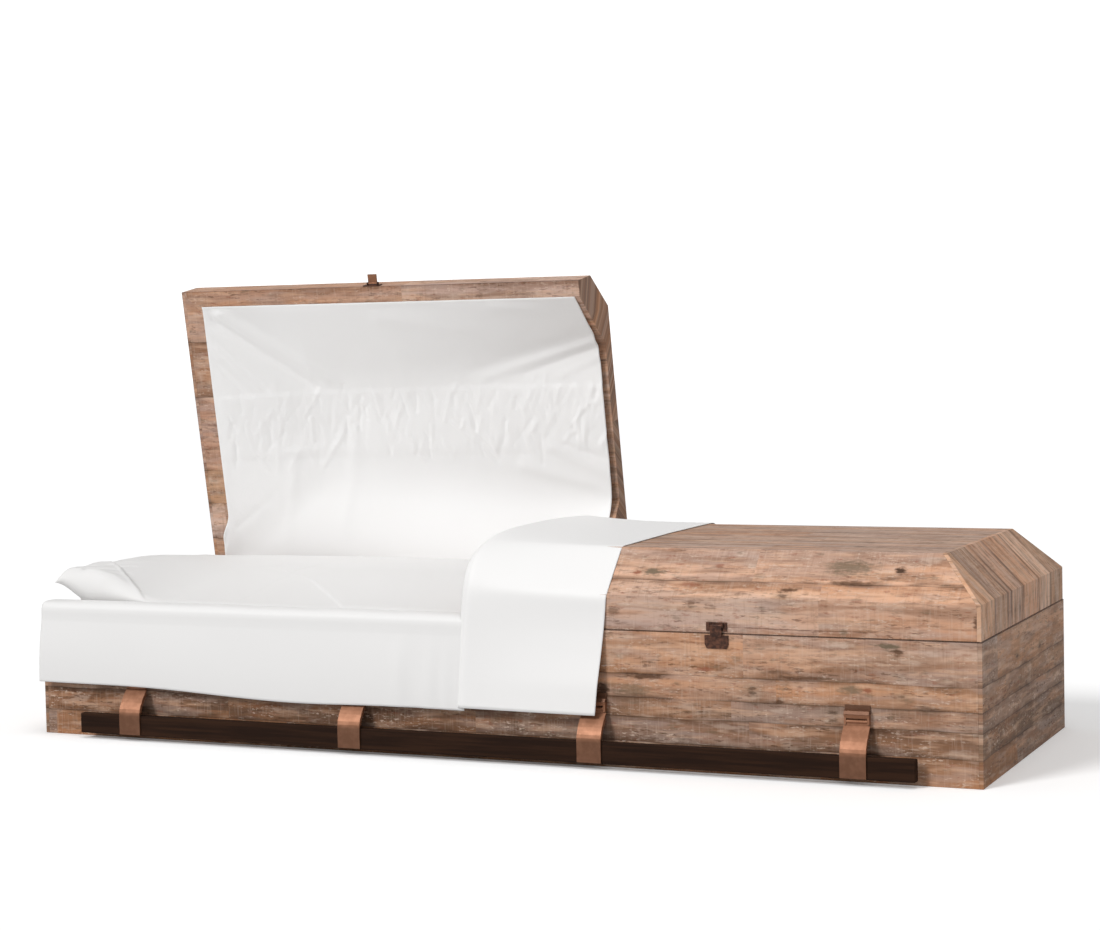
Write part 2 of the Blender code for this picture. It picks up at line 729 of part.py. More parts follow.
def make_handle(where, side):
    """One carrying bar with its arms, and the lugs that hold them to the wall."""
    axis = Vector((0.0, out_from_wall(side, PIVOT_OUT), PIVOT_HEIGHT))
    swing = pivot(f"{where}_handle_axis", axis)
    moving = [make_bar(f"{where}_bar", side)]
    for number, x in enumerate(arm_places(), start=1):
        make_lug(f"{where}_lug_{number}", x, side)
        arm, joined = make_arm(f"{where}_arm_{number}", x, side)
        moving += [arm] + joined
    hang_on(swing, axis, moving)


def make_lid(where, sign, open_angle, hasp_angle):
    """One half of the lid, with its lining, hinge leaves and latch."""
    turning = pivot(f"{where}_lid_axis", HINGE_AXIS, open_angle)
    pieces = [
        make_lid_shell(f"{where}_lid_shell", sign),
        make_lid_facing(f"{where}_lid_facing", sign),
        make_lid_lining(f"{where}_lid_lining", sign),
    ]
    for number, place in enumerate(HINGE_PLACES, start=1):
        make_hinge_leaf(f"{where}_hinge_{number}_body_leaf", sign * place, -1)
        leaf, joined = make_hinge_leaf(f"{where}_hinge_{number}_lid_leaf", sign * place, 1)
        pieces += [leaf] + joined
    x = sign * LATCH_X
    make_catch_plate(f"{where}_catch_plate", x)
    base, joined = make_hasp_base(f"{where}_hasp_base", x)
    pieces += [base] + joined
    if where == "foot":
        pieces.append(make_throw())
    hang_on(turning, HINGE_AXIS, pieces)
    axis = hasp_axis(x)
    hasp_turning = pivot(f"{where}_hasp_axis", axis - HINGE_AXIS, hasp_angle, turning)
    hasp, joined = make_hasp(f"{where}_hasp", x)
    hang_on(hasp_turning, axis, [hasp] + joined)


def main():
    clear_scene()
    make_body()
    make_wall_lining()
    make_mattress()
    make_overlay()
    make_pillow()
    make_front_drape()
    make_lid("head", -1, -HEAD_LID_OPEN, -math.pi / 2)
    make_lid("foot", 1, 0.0, 0.0)
    make_handle("front", -1)
    make_handle("back", 1)


main()
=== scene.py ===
import math

import bmesh
import bpy
import numpy as np
from mathutils import Matrix, Vector


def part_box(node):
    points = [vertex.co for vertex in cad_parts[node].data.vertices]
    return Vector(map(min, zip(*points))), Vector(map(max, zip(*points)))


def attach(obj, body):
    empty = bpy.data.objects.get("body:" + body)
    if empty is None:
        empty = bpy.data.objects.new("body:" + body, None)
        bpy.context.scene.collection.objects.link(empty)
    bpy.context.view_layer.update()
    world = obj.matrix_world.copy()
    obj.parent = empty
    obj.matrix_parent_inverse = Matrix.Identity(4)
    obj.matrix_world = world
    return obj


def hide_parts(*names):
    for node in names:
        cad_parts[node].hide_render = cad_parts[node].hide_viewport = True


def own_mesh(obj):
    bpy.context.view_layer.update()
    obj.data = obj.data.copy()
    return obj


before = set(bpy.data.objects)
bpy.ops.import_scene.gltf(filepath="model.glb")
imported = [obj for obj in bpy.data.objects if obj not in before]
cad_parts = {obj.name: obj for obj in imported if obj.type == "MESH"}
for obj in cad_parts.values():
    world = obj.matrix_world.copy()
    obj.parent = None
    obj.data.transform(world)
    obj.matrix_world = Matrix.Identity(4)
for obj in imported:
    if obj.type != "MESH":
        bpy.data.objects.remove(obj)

# Sizes shared by several pieces, in metres
HALF_LENGTH = 1.040
HALF_WIDTH = 0.350
BODY_HEIGHT = 0.270
WALL = 0.036
LID_INSET = 0.0015
LID_SKIRT = 0.068
LID_HEIGHT = 0.154
LID_BEVEL_RUN = 0.084
LID_END = HALF_LENGTH - LID_INSET
LID_HALF_WIDTH = HALF_WIDTH - LID_INSET
LID_TOP = BODY_HEIGHT + LID_HEIGHT
LID_SLOPE_RISE = LID_HEIGHT - LID_SKIRT
# Added to the height to give the distance up a lid's slope
SLOPE_SHARE = (math.hypot(LID_BEVEL_RUN, LID_SLOPE_RISE) - LID_SLOPE_RISE) / LID_BEVEL_RUN
HINGE_Y = 0.356
HINGE_Z = BODY_HEIGHT
HEAD_LID_OPEN = math.radians(80.0)

# Cloth
CLOTH_THICKNESS = 0.0012
LINING_LOW = WALL + 0.0005                      # from the hinge side of the lid to the lining's edge
LINING_HIGH = 2 * LID_HALF_WIDTH - LINING_LOW
LINING_CUT = 0.0135                             # bare strip along the cut between the two lids
LINING_END = LID_END - WALL - 0.0180
LINING_DEPTH = 0.1125
BED_FRONT = -0.300
BED_BACK = 0.300
DRAPE_LEFT = -1.036
DRAPE_RIGHT = -0.006


class Wire:
    """A socket that takes part in plain arithmetic."""

    def __init__(self, shade, socket):
        self.shade = shade
        self.socket = socket

    def maths(self, kind, *others, clamp=False):
        inputs = [self] + list(others)
        return self.shade.node("ShaderNodeMath", {"operation": kind, "use_clamp": clamp}, inputs)

    def __add__(self, other):
        return self.maths("ADD", other)

    def __sub__(self, other):
        return self.maths("SUBTRACT", other)

    def __mul__(self, other):
        return self.maths("MULTIPLY", other)

    def __truediv__(self, other):
        return self.maths("DIVIDE", other)

    def __radd__(self, other):
        return self + other

    def __rmul__(self, other):
        return self * other

    def __rsub__(self, other):
        return self.shade.value(other).maths("SUBTRACT", self)

    def __abs__(self):
        return self.maths("ABSOLUTE")

    def __gt__(self, other):
        return self.maths("GREATER_THAN", other)

    def __lt__(self, other):
        return self.maths("LESS_THAN", other)

    def floor(self):
        return self.maths("FLOOR")

    def fract(self):
        return self.maths("FRACT")

    def root(self):
        return self.maths("SQRT")

    def least(self, other):
        return self.maths("MINIMUM", other)

    def most(self, other):
        return self.maths("MAXIMUM", other)

    def smooth(self, low, high):
        """0 at low, 1 at high, eased between them."""
        settings = {"interpolation_type": "SMOOTHSTEP"}
        return self.shade.node("ShaderNodeMapRange", settings,
                               {"Value": self, "From Min": low, "From Max": high})

    def between(self, low, high):
        """A number from 0 to 1 spread from low to high."""
        return self * (high - low) + low


class Shade:
    """A material under construction."""

    def __init__(self, name):
        self.material = bpy.data.materials.new(name)
        self.material.use_nodes = True
        self.tree = self.material.node_tree
        self.shader = self.tree.nodes["Principled BSDF"]

    def feed(self, socket, value):
        if isinstance(value, Wire):
            self.tree.links.new(value.socket, socket)
        elif isinstance(value, tuple) and len(value) == 3 and len(socket.default_value) == 4:
            socket.default_value = (*value, 1.0)
        else:
            socket.default_value = value

    def make(self, kind, settings=None, inputs=()):
        made = self.tree.nodes.new(kind)
        for name, value in (settings or {}).items():
            setattr(made, name, value)
        pairs = inputs.items() if isinstance(inputs, dict) else enumerate(inputs)
        for key, value in pairs:
            self.feed(made.inputs[key], value)
        return made

    def node(self, kind, settings=None, inputs=(), output=0):
        return Wire(self, self.make(kind, settings, inputs).outputs[output])

    def value(self, number):
        made = self.tree.nodes.new("ShaderNodeValue")
        made.outputs[0].default_value = number
        return Wire(self, made.outputs[0])

    def place(self):
        """The object coordinates as three numbers."""
        point = self.node("ShaderNodeTexCoord", output="Object")
        parts = self.make("ShaderNodeSeparateXYZ", None, (point,))
        return [Wire(self, parts.outputs[i]) for i in range(3)]

    def vector(self, x, y, z=0.0):
        return self.node("ShaderNodeCombineXYZ", None, (x, y, z))

    def noise(self, point, scale=1.0, detail=4.0, roughness=0.55):
        names = {"Vector": point, "Scale": scale, "Detail": detail, "Roughness": roughness}
        return self.node("ShaderNodeTexNoise", None, names)

    def chance(self, x, y=0.0):
        """A random number from 0 to 1 for each pair of whole numbers."""
        return self.node("ShaderNodeTexWhiteNoise", {"noise_dimensions": "2D"},
                         {"Vector": self.vector(x, y)})

    def choose(self, switch, off, on):
        """The number off where the switch is 0, and on where it is 1."""
        return self.node("ShaderNodeMix", {"data_type": "FLOAT"}, {0: switch, 2: off, 3: on})

    def mix(self, amount, first, second):
        made = self.make("ShaderNodeMix", {"data_type": "RGBA"}, (amount,))
        self.feed(made.inputs[6], first)
        self.feed(made.inputs[7], second)
        return Wire(self, made.outputs[2])

    def bands(self, position, stops):
        """Bands of colour and a number: stops are (position, colour, number)."""
        made = self.tree.nodes.new("ShaderNodeValToRGB")
        ramp = made.color_ramp
        while len(ramp.elements) < len(stops):
            ramp.elements.new(1.0)
        for element, (start, colour, number) in zip(ramp.elements, stops):
            element.position = start
            element.color = (*colour, number)
        self.feed(made.inputs[0], position)
        return Wire(self, made.outputs[0]), Wire(self, made.outputs[1])

    def bump(self, height, distance, strength=1.0):
        names = {"Height": height, "Distance": distance, "Strength": strength}
        return self.node("ShaderNodeBump", None, names)

    def finish(self, colour, roughness, normal=None, metallic=0.0, **extra):
        self.feed(self.shader.inputs["Base Color"], colour)
        self.feed(self.shader.inputs["Roughness"], roughness)
        self.feed(self.shader.inputs["Metallic"], metallic)
        if normal is not None:
            self.feed(self.shader.inputs["Normal"], normal)
        for name, value in extra.items():
            self.feed(self.shader.inputs[name.replace("_", " ")], value)
        return self.material


def tone(red, green, blue):
    """A colour as seen on screen, 0 to 255, as the surface's own colour."""
    def straight(c):
        c /= 255.0
        return c / 12.92 if c <= 0.04045 else ((c + 0.055) / 1.055) ** 2.4
    return tuple(straight(c) for c in (red, green, blue))


# Inks of the plank print. The dark grain ink is also laid on as painted shade, and the parting and end colours
# are painted shade only
DARK_GRAIN_AND_SHADE = tone(88, 62, 46)
SHADE_BROWN = tone(126, 90, 66)
KNOT_BROWN = tone(66, 46, 35)
RED_BROWN = tone(142, 84, 62)
OLIVE_GREY = tone(112, 98, 80)
PINK_GREY = tone(176, 153, 142)
WARM_TAN = tone(206, 146, 104)
SUN_TAN = tone(224, 182, 152)
PALE_FLECK = tone(214, 190, 172)
SEAM_DARK = tone(60, 44, 34)
# Painted shadow for the gap between body and lid
PAINTED_PARTING_SHADOW = tone(56, 42, 36)
# Painted shade for the body's ends, which face away from the light
PAINTED_END_SHADE = tone(84, 66, 36)
PARTING_WIDTH = 0.0013
PLANK_LENGTH = 0.58
END_SHIFT = 2.0
SOFT_EDGE = 0.005

# Rows of the print: upper edge, colour, how rough it looks, from 0 to 1, and if a seam is drawn there.
# On the body the edges are heights above the floor.
BODY_ROWS = [
    (0.012, tone(150, 111, 85), 0.4, False),
    (0.053, tone(132, 106, 88), 0.9, True),
    (0.080, tone(134, 106, 88), 0.9, False),
    (0.102, tone(125, 97, 80), 0.9, True),
    (0.121, tone(144, 117, 98), 0.8, False),
    (0.140, tone(143, 114, 95), 0.7, True),
    (0.162, tone(170, 129, 102), 0.6, False),
    (0.186, tone(190, 145, 114), 0.4, True),
    (0.209, tone(158, 122, 98), 0.7, False),
    (0.229, tone(188, 147, 119), 0.4, False),
    (0.246, tone(207, 165, 136), 0.4, False),
    (0.259, tone(206, 167, 142), 0.5, False),
    (0.300, tone(177, 149, 133), 0.6, False),
]
# On the lid the edges are distances round it, from the front edge's height, up and over to the back.
LID_ROWS = [
    (0.279, tone(171, 139, 123), 0.6, False),
    (0.293, tone(197, 167, 153), 0.5, False),
    (0.340, tone(200, 170, 153), 0.45, False),
    (0.358, tone(227, 186, 159), 0.35, False),
    (0.378, tone(205, 162, 136), 0.45, True),
    (0.393, tone(230, 182, 152), 0.3, False),
    (0.408, tone(225, 177, 146), 0.35, False),
    (0.427, tone(210, 166, 139), 0.5, False),
    (0.459, tone(187, 153, 134), 0.45, False),
    (0.545, tone(185, 155, 138), 0.4, True),
    (0.640, tone(181, 152, 134), 0.4, True),
    (0.735, tone(189, 159, 140), 0.35, True),
    (0.830, tone(178, 148, 130), 0.5, True),
    (0.987, tone(174, 147, 130), 0.45, True),
    (1.067, tone(193, 155, 130), 0.4, True),
    (1.300, tone(178, 145, 122), 0.6, True),
]
# On the lid's ends the planks stand upright, and the edges are distances from its middle.
FOOT_END_ROWS = [
    (-0.2435, tone(220, 175, 143), 0.5, True),
    (-0.1385, tone(194, 158, 132), 0.6, True),
    (-0.1085, tone(190, 151, 128), 0.4, True),
    (-0.0085, tone(216, 170, 141), 0.5, True),
    (0.1315, tone(216, 171, 143), 0.4, True),
    (0.2315, tone(229, 191, 165), 0.5, True),
    (0.4000, tone(184, 148, 122), 0.6, True),
]
HEAD_END_ROWS = [
    (-0.2255, tone(212, 166, 138), 0.4, True),
    (-0.0915, tone(172, 135, 113), 0.5, True),
    (0.0885, tone(182, 149, 134), 0.5, True),
    (0.1725, tone(186, 147, 117), 0.4, True),
    (0.2600, tone(211, 182, 166), 0.3, True),
    (0.4000, tone(214, 167, 135), 0.4, True),
]
# Marks in the print where the photograph shows them: along, across, half length, half height,
# strength, ink
BODY_MARKS = [
    (0.790, 0.172, 0.024, 0.008, 0.75, OLIVE_GREY),
    (0.824, 0.172, 0.009, 0.005, 0.80, RED_BROWN),
    (0.866, 0.256, 0.022, 0.007, 0.95, OLIVE_GREY),
    (0.884, 0.246, 0.014, 0.006, 0.85, DARK_GRAIN_AND_SHADE),
    (0.285, 0.153, 0.016, 0.014, 0.90, KNOT_BROWN),
    (0.500, 0.200, 0.018, 0.004, 0.75, RED_BROWN),
    (0.375, 0.181, 0.044, 0.006, 0.85, DARK_GRAIN_AND_SHADE),
    (0.350, 0.152, 0.040, 0.014, 0.60, OLIVE_GREY),
    (0.695, 0.191, 0.055, 0.004, 0.65, DARK_GRAIN_AND_SHADE),
    (0.650, 0.199, 0.030, 0.007, 0.45, DARK_GRAIN_AND_SHADE),
    (0.930, 0.143, 0.018, 0.005, 0.60, DARK_GRAIN_AND_SHADE),
    (0.650, 0.145, 0.008, 0.006, 0.70, KNOT_BROWN),
    (0.845, 0.098, 0.030, 0.008, 0.60, DARK_GRAIN_AND_SHADE),
    (0.770, 0.256, 0.030, 0.006, 0.55, PALE_FLECK),
    (0.700, 0.119, 0.060, 0.006, 0.35, PINK_GREY),
]
LID_MARKS = [
    (0.875, 0.414, 0.011, 0.009, 0.95, KNOT_BROWN),
    (0.775, 0.420, 0.050, 0.018, 0.75, OLIVE_GREY),
    (0.785, 0.382, 0.045, 0.007, 0.70, DARK_GRAIN_AND_SHADE),
    (0.858, 0.395, 0.020, 0.005, 0.55, DARK_GRAIN_AND_SHADE),
    (0.380, 0.398, 0.024, 0.009, 0.90, OLIVE_GREY),
    (0.348, 0.395, 0.009, 0.006, 0.80, RED_BROWN),
    (0.665, 0.361, 0.018, 0.005, 0.90, DARK_GRAIN_AND_SHADE),
    (0.465, 0.370, 0.020, 0.006, 0.55, RED_BROWN),
    (0.515, 0.417, 0.010, 0.006, 0.60, RED_BROWN),
    (1.030, 0.305, 0.007, 0.013, 0.80, DARK_GRAIN_AND_SHADE),
    (0.778, 0.280, 0.008, 0.007, 0.60, OLIVE_GREY),
    (0.312, 0.308, 0.014, 0.009, 0.60, DARK_GRAIN_AND_SHADE),
    (0.680, 0.282, 0.170, 0.0014, 0.60, DARK_GRAIN_AND_SHADE),
]


def read_rows(shade, level, rows):
    """The colour and roughness at a level, the plank's number and the distance to a drawn seam."""
    low = rows[0][0] - 1.0
    span = rows[-1][0] - low
    stops = [(0.0, *rows[0][1:3])]
    for row, above in zip(rows, rows[1:]):
        half = SOFT_EDGE * (0.1 if row[3] else 1.0)
        stops.append(((row[0] - half - low) / span, *row[1:3]))
        stops.append(((row[0] + half - low) / span, *above[1:3]))
    tint, rough = shade.bands((level - low) / span, stops)
    number = shade.value(0.0)
    seam = shade.value(1.0)
    for edge, _, _, drawn in rows[:-1]:
        if drawn:
            number = number + (level > edge)
            seam = seam.least(abs(level - edge))
    return tint, rough, number, seam


def choose_rows(shade, switch, off, on):
    """The reading off where the switch is 0, and on where it is 1."""
    numbers = [shade.choose(switch, a, b) for a, b in zip(off[1:], on[1:])]
    return (shade.mix(switch, off[0], on[0]), *numbers)


def add_marks(shade, colour, along, level, marks):
    """Knots and stains at set places, with ragged edges."""
    ragged = shade.noise(shade.vector(along * 70.0, level * 200.0), 1.0, 3.0) - 0.5
    for x, z, half_length, half_height, strength, ink in marks:
        dx = (along - x) / half_length
        dz = (level - z) / half_height
        reach = (dx * dx + dz * dz).root() + ragged * 2.2
        colour = shade.mix((1.0 - reach.smooth(0.35, 1.35)) * strength, colour, ink)
    return colour


def add_scattered_knots(shade, colour, along, row, seam, seed):
    """A few knots anywhere along the rows."""
    pitch = 0.26
    cell = along / pitch + shade.chance(row, seed + 3.0) * 7.0
    number = cell.floor()
    shown = shade.chance(number, row + seed) > 0.78
    off_middle = (cell.fract() - shade.chance(number, row + 8.0).between(0.25, 0.75)) * pitch
    depth_in = seam - shade.chance(number, row + 21.0).between(0.008, 0.034)
    ragged = shade.noise(shade.vector(along * 90.0, seam * 200.0, row), 1.0, 2.0) - 0.5
    reach = (off_middle * off_middle * 0.25 + depth_in * depth_in).root() + ragged * 0.010
    colour = shade.mix((1.0 - reach.smooth(0.004, 0.016)) * shown * 0.30, colour, OLIVE_GREY)
    return shade.mix((1.0 - reach.smooth(0.001, 0.006)) * shown * 0.65, colour, KNOT_BROWN)


def swayed(shade, along, across, seed):
    """A level that wanders a little along the planks."""
    sway = shade.noise(shade.vector(along * 5.0, across * 14.0, seed), 1.0, 2.0) - 0.5
    return across + sway * 0.006


def plank_print(shade, along, across, reading, marks, rim, seed):
    """Weathered planks printed on board. rim is 1 along the edge between body and lid, where a painted shadow of
    the gap goes.
    """
    tint, rough, row, seam = reading
    level = swayed(shade, along, across, seed)
    plank = (along / PLANK_LENGTH + shade.chance(row, seed) * 9.0).floor()
    lane = row * 3.7 + plank * 1.3 + seed

    def grain(length, width, shift, detail=3.0):
        """Noise drawn out along the planks."""
        point = shade.vector(along / length, level / width, lane + shift)
        return shade.noise(point, 1.0, detail, 0.60)

    def lay(colour, field, low, high, amount, ink):
        return shade.mix(field.smooth(low, high) * amount, colour, ink)

    # Each plank has a tone of its own
    pick = shade.chance(plank, row + seed)
    colour = shade.mix(pick.smooth(0.60, 1.00) * 0.40, tint, PINK_GREY)
    colour = shade.mix((1.0 - pick.smooth(0.00, 0.40)) * 0.34, colour, SHADE_BROWN)
    colour = shade.mix(shade.chance(plank, row + seed + 5.0).smooth(0.50, 1.00) * 0.40, colour, WARM_TAN)
    # Broad fields of tone
    colour = lay(colour, grain(0.260, 0.030, 1.0, 2.0), 0.46, 0.62, 0.36, WARM_TAN)
    colour = lay(colour, grain(0.200, 0.024, 2.0, 2.0), 0.48, 0.63, 0.44, SHADE_BROWN)
    colour = lay(colour, grain(0.160, 0.028, 3.0, 2.0), 0.49, 0.63, 0.42, PINK_GREY)
    # Blotches
    colour = lay(colour, grain(0.110, 0.014, 4.0), 0.50, 0.66, rough.between(0.20, 0.55), SHADE_BROWN)
    colour = lay(colour, grain(0.120, 0.014, 5.0), 0.49, 0.66, 0.42, SUN_TAN)
    colour = lay(colour, grain(0.042, 0.012, 6.0), 0.58, 0.72, 0.50, OLIVE_GREY)
    colour = lay(colour, grain(0.026, 0.008, 7.0), 0.58, 0.72, 0.50, RED_BROWN)
    colour = lay(colour, grain(0.070, 0.022, 15.0), 0.54, 0.70, 0.34, PALE_FLECK)
    # Grain and flecks, gathered in patches
    patchy = grain(0.120, 0.024, 13.0, 2.0).smooth(0.43, 0.60)
    colour = lay(colour, grain(0.130, 0.0030, 8.0), 0.52, 0.70, patchy.between(0.06, 0.26), DARK_GRAIN_AND_SHADE)
    broken = patchy * rough.between(0.24, 0.74) + 0.10
    colour = lay(colour, grain(0.022, 0.0044, 9.0), 0.53, 0.66, broken, DARK_GRAIN_AND_SHADE)
    gathered = grain(0.090, 0.022, 10.0, 2.0).smooth(0.46, 0.58)
    flecks = gathered * rough.between(0.28, 0.85)
    colour = lay(colour, grain(0.011, 0.0038, 11.0), 0.54, 0.68, flecks, PALE_FLECK)
    # Saw marks across the planks
    colour = lay(colour, grain(0.0042, 0.060, 12.0, 2.0), 0.50, 0.70, 0.16, PALE_FLECK)
    colour = lay(colour, grain(0.0054, 0.060, 14.0, 2.0), 0.54, 0.72, 0.16, SHADE_BROWN)
    colour = add_scattered_knots(shade, colour, along, row, seam, seed)
    colour = add_marks(shade, colour, along, level, marks)
    worn = shade.noise(shade.vector(along * 7.0, row * 5.0, seed), 1.0, 2.0)
    near_seam = (1.0 - seam.smooth(0.0, 0.014)) * worn.smooth(0.40, 0.60) * 0.58
    colour = shade.mix(near_seam, colour, DARK_GRAIN_AND_SHADE)
    on_seam = (1.0 - seam.smooth(0.0002, 0.0022)) * worn.smooth(0.36, 0.60).between(0.08, 0.60)
    colour = shade.mix(on_seam, colour, SEAM_DARK)
    # Painted shadow of the gap between body and lid
    colour = shade.mix(rim * 0.9, colour, PAINTED_PARTING_SHADOW)
    paper = shade.noise(shade.vector(along * 700.0, across * 700.0, seed), 1.0, 2.0)
    return shade.finish(colour, paper.between(0.44, 0.58), shade.bump(paper, 0.00006, 0.5),
                        Specular_IOR_Level=0.08)


def closed_place(y, z, open_angle):
    """Turn a place on the open lid back to where it is when shut."""
    if open_angle == 0.0:
        return y, z
    c, s = math.cos(open_angle), math.sin(open_angle)
    from_y, from_z = y - HINGE_Y, z - HINGE_Z
    return from_y * c - from_z * s + HINGE_Y, from_y * s + from_z * c + HINGE_Z


def side_print(name, seed, way=0):
    """The print on a wall of the body. way is 1 at the foot end and -1 at the head end."""
    shade = Shade(name)
    x, y, z = shade.place()
    along = (y + (HALF_LENGTH + HALF_WIDTH)) * float(way) if way else x
    reading = read_rows(shade, swayed(shade, along + seed, z, seed), BODY_ROWS)
    if way:
        # Painted shade: the ends are darkened, as they face away from the light
        reading = (shade.mix(0.26, reading[0], PAINTED_END_SHADE), *reading[1:])
    else:
        # Painted shadow of the drape's hem: the low strip under the drape is darkened
        painted_drape_shadow = (1.0 - x.smooth(-0.10, 0.20)) * (1.0 - z.smooth(0.10, 0.16)) * 0.60
        reading = (shade.mix(painted_drape_shadow, reading[0], DARK_GRAIN_AND_SHADE), *reading[1:])
    outside = (abs(y) - HALF_WIDTH).most(abs(x) - HALF_LENGTH) > -0.0005
    rim = outside * (z > BODY_HEIGHT - PARTING_WIDTH)
    return plank_print(shade, along + seed, z, reading, BODY_MARKS, rim, seed)


def lid_rim(x, y, z):
    """1 on the outside of a lid along its lower edge."""
    outside = (abs(y) - LID_HALF_WIDTH).most(abs(x) - LID_END) > -0.0005
    return outside * (z < BODY_HEIGHT + PARTING_WIDTH)


def lid_print(name, seed, end_rows, open_angle=0.0):
    """The print on a lid: planks along it, and upright ones where the end is folded down."""
    shade = Shade(name)
    x, y, z = shade.place()
    y, z = closed_place(y, z, open_angle)
    side = LID_HALF_WIDTH - abs(y)
    end = LID_END - abs(x)
    at_end = (end < side) * (z < LID_TOP - 0.002)
    # The rim is flat, so there the full distance in from the edge counts
    share = shade.choose(z < BODY_HEIGHT + 0.001, SLOPE_SHARE, 1.0)
    flat = (side - LID_BEVEL_RUN).most(0.0)
    girth = z + (side - flat) * share + flat
    half_girth = LID_TOP + LID_BEVEL_RUN * SLOPE_SHARE + LID_HALF_WIDTH - LID_BEVEL_RUN
    girth = shade.choose(y > 0.0, girth, 2.0 * half_girth - girth)
    along = shade.choose(at_end, x + seed, z + end * share + seed)
    across = shade.choose(at_end, girth, y + END_SHIFT)
    on_side = read_rows(shade, swayed(shade, along, girth, seed), LID_ROWS)
    on_end = read_rows(shade, swayed(shade, along, y, seed), end_rows)
    reading = choose_rows(shade, at_end, on_side, on_end)
    # Painted shade: the cut end of the board is darkened, as the end face turned from the light
    cut = 1.0 - abs(x).smooth(0.0018, 0.0030)
    reading = (shade.mix(cut * 0.50, reading[0], DARK_GRAIN_AND_SHADE), *reading[1:])
    return plank_print(shade, along, across, reading, LID_MARKS, lid_rim(x, y, z), seed)


def end_print(name, seed, end_rows, open_angle=0.0):
    """The print on a lid's end board."""
    shade = Shade(name)
    x, y, z = shade.place()
    y, z = closed_place(y, z, open_angle)
    along = z + (LID_END - abs(x)) * SLOPE_SHARE + seed
    reading = read_rows(shade, swayed(shade, along, y, seed), end_rows)
    return plank_print(shade, along, y, reading, [], lid_rim(x, y, z), seed)


def cloth_finish(name, colour):
    """White satin with a fine weave."""
    shade = Shade(name)
    x, y, z = shade.place()
    point = shade.vector(x, y, z)
    soft = shade.noise(point, 9.0, 3.0, 0.5)
    weave = shade.noise(point, 900.0, 1.0, 0.5)
    height = soft * 0.6 + weave * 0.05
    return shade.finish(colour, weave.between(0.50, 0.62), shade.bump(height, 0.0012, 0.30),
                        Sheen_Weight=0.12)


def copper_finish(name):
    """Brushed, lightly toned copper plate."""
    shade = Shade(name)
    x, y, z = shade.place()
    brushed = shade.noise(shade.vector(x * 900.0, y * 30.0, z * 30.0), 1.0, 2.0)
    toned = shade.noise(shade.vector(x, y, z), 60.0, 4.0)
    colour = shade.mix(toned.smooth(0.35, 0.70), tone(141, 96, 70), tone(160, 112, 85))
    # Painted shade: darker where the plate wraps the bar and faces away from the light, and on the pivot plates
    on_lug = z.smooth(0.126, 0.130) * (z < 0.16)
    painted_copper_shade = (1.0 - z.smooth(0.052, 0.064)) * 0.50 + on_lug * 0.66
    colour = shade.mix(painted_copper_shade, colour, tone(70, 46, 32))
    return shade.finish(colour, brushed.between(0.44, 0.54), shade.bump(brushed, 0.00005, 0.3),
                        metallic=0.55)


def bronze_finish(name):
    """Brown antique bronze, rubbed lighter in places."""
    shade = Shade(name)
    x, y, z = shade.place()
    toned = shade.noise(shade.vector(x, y, z), 140.0, 4.0)
    colour = shade.mix(toned.smooth(0.35, 0.70), tone(62, 39, 30), tone(108, 70, 53))
    return shade.finish(colour, 0.45, shade.bump(toned, 0.0002, 0.4), metallic=0.5)


def bar_finish(name):
    """Dark stained wood."""
    shade = Shade(name)
    x, y, z = shade.place()
    grain = shade.noise(shade.vector(x * 5.0, y * 130.0, z * 130.0), 1.0, 4.0)
    colour = shade.mix(grain.smooth(0.35, 0.70), tone(35, 20, 12), tone(52, 32, 20))
    return shade.finish(colour, 0.70, shade.bump(grain, 0.0003, 0.3), Specular_IOR_Level=0.10)


def smoothstep(value, low, high):
    t = np.clip((value - low) / (high - low), 0.0, 1.0)
    return t * t * (3.0 - 2.0 * t)


def soft_least(first, second, blend):
    """The lesser of two, with the corner rounded over a distance."""
    h = np.clip(0.5 + 0.5 * (second - first) / blend, 0.0, 1.0)
    return second * (1 - h) + first * h - blend * h * (1 - h)


def ridge(distance, width):
    """A bump that is 1 on a line and fades out over a width on each side."""
    return np.exp(-(distance / width) ** 2)


def wobble(x, y, seed):
    """Smooth irregular wave, about -1 to 1."""
    a = np.sin(x * 1.00 + y * 0.37 + seed * 1.7)
    b = np.sin(x * 0.53 - y * 0.81 + seed * 2.9)
    c = np.sin(x * 1.71 + y * 1.13 + seed * 0.6)
    return (a + b + 0.6 * c) / 2.6


def line_distance(px, py, start, end):
    """Distance to a line piece, how far along it, and the side of it."""
    sx, sy = start
    dx, dy = end[0] - sx, end[1] - sy
    length = math.hypot(dx, dy)
    t = np.clip(((px - sx) * dx + (py - sy) * dy) / length ** 2, 0.0, 1.0)
    away = np.hypot(px - sx - t * dx, py - sy - t * dy)
    side = ((px - sx) * dy - (py - sy) * dx) / length
    return away, t, side


def grid_faces(rows, columns):
    faces = []
    for i in range(rows - 1):
        for j in range(columns - 1):
            first = i * columns + j
            faces.append((first, first + 1, first + columns + 1, first + columns))
    return faces


def mesh_piece(name, points, faces, material):
    mesh = bpy.data.meshes.new(name)
    mesh.from_pydata([tuple(point) for point in points.tolist()], [], faces)
    piece = bpy.data.objects.new(name, mesh)
    bpy.context.scene.collection.objects.link(piece)
    mesh.materials.append(material)
    shell = bmesh.new()
    shell.from_mesh(mesh)
    bmesh.ops.recalc_face_normals(shell, faces=shell.faces)
    shell.to_mesh(mesh)
    shell.free()
    mesh.shade_smooth()
    return piece


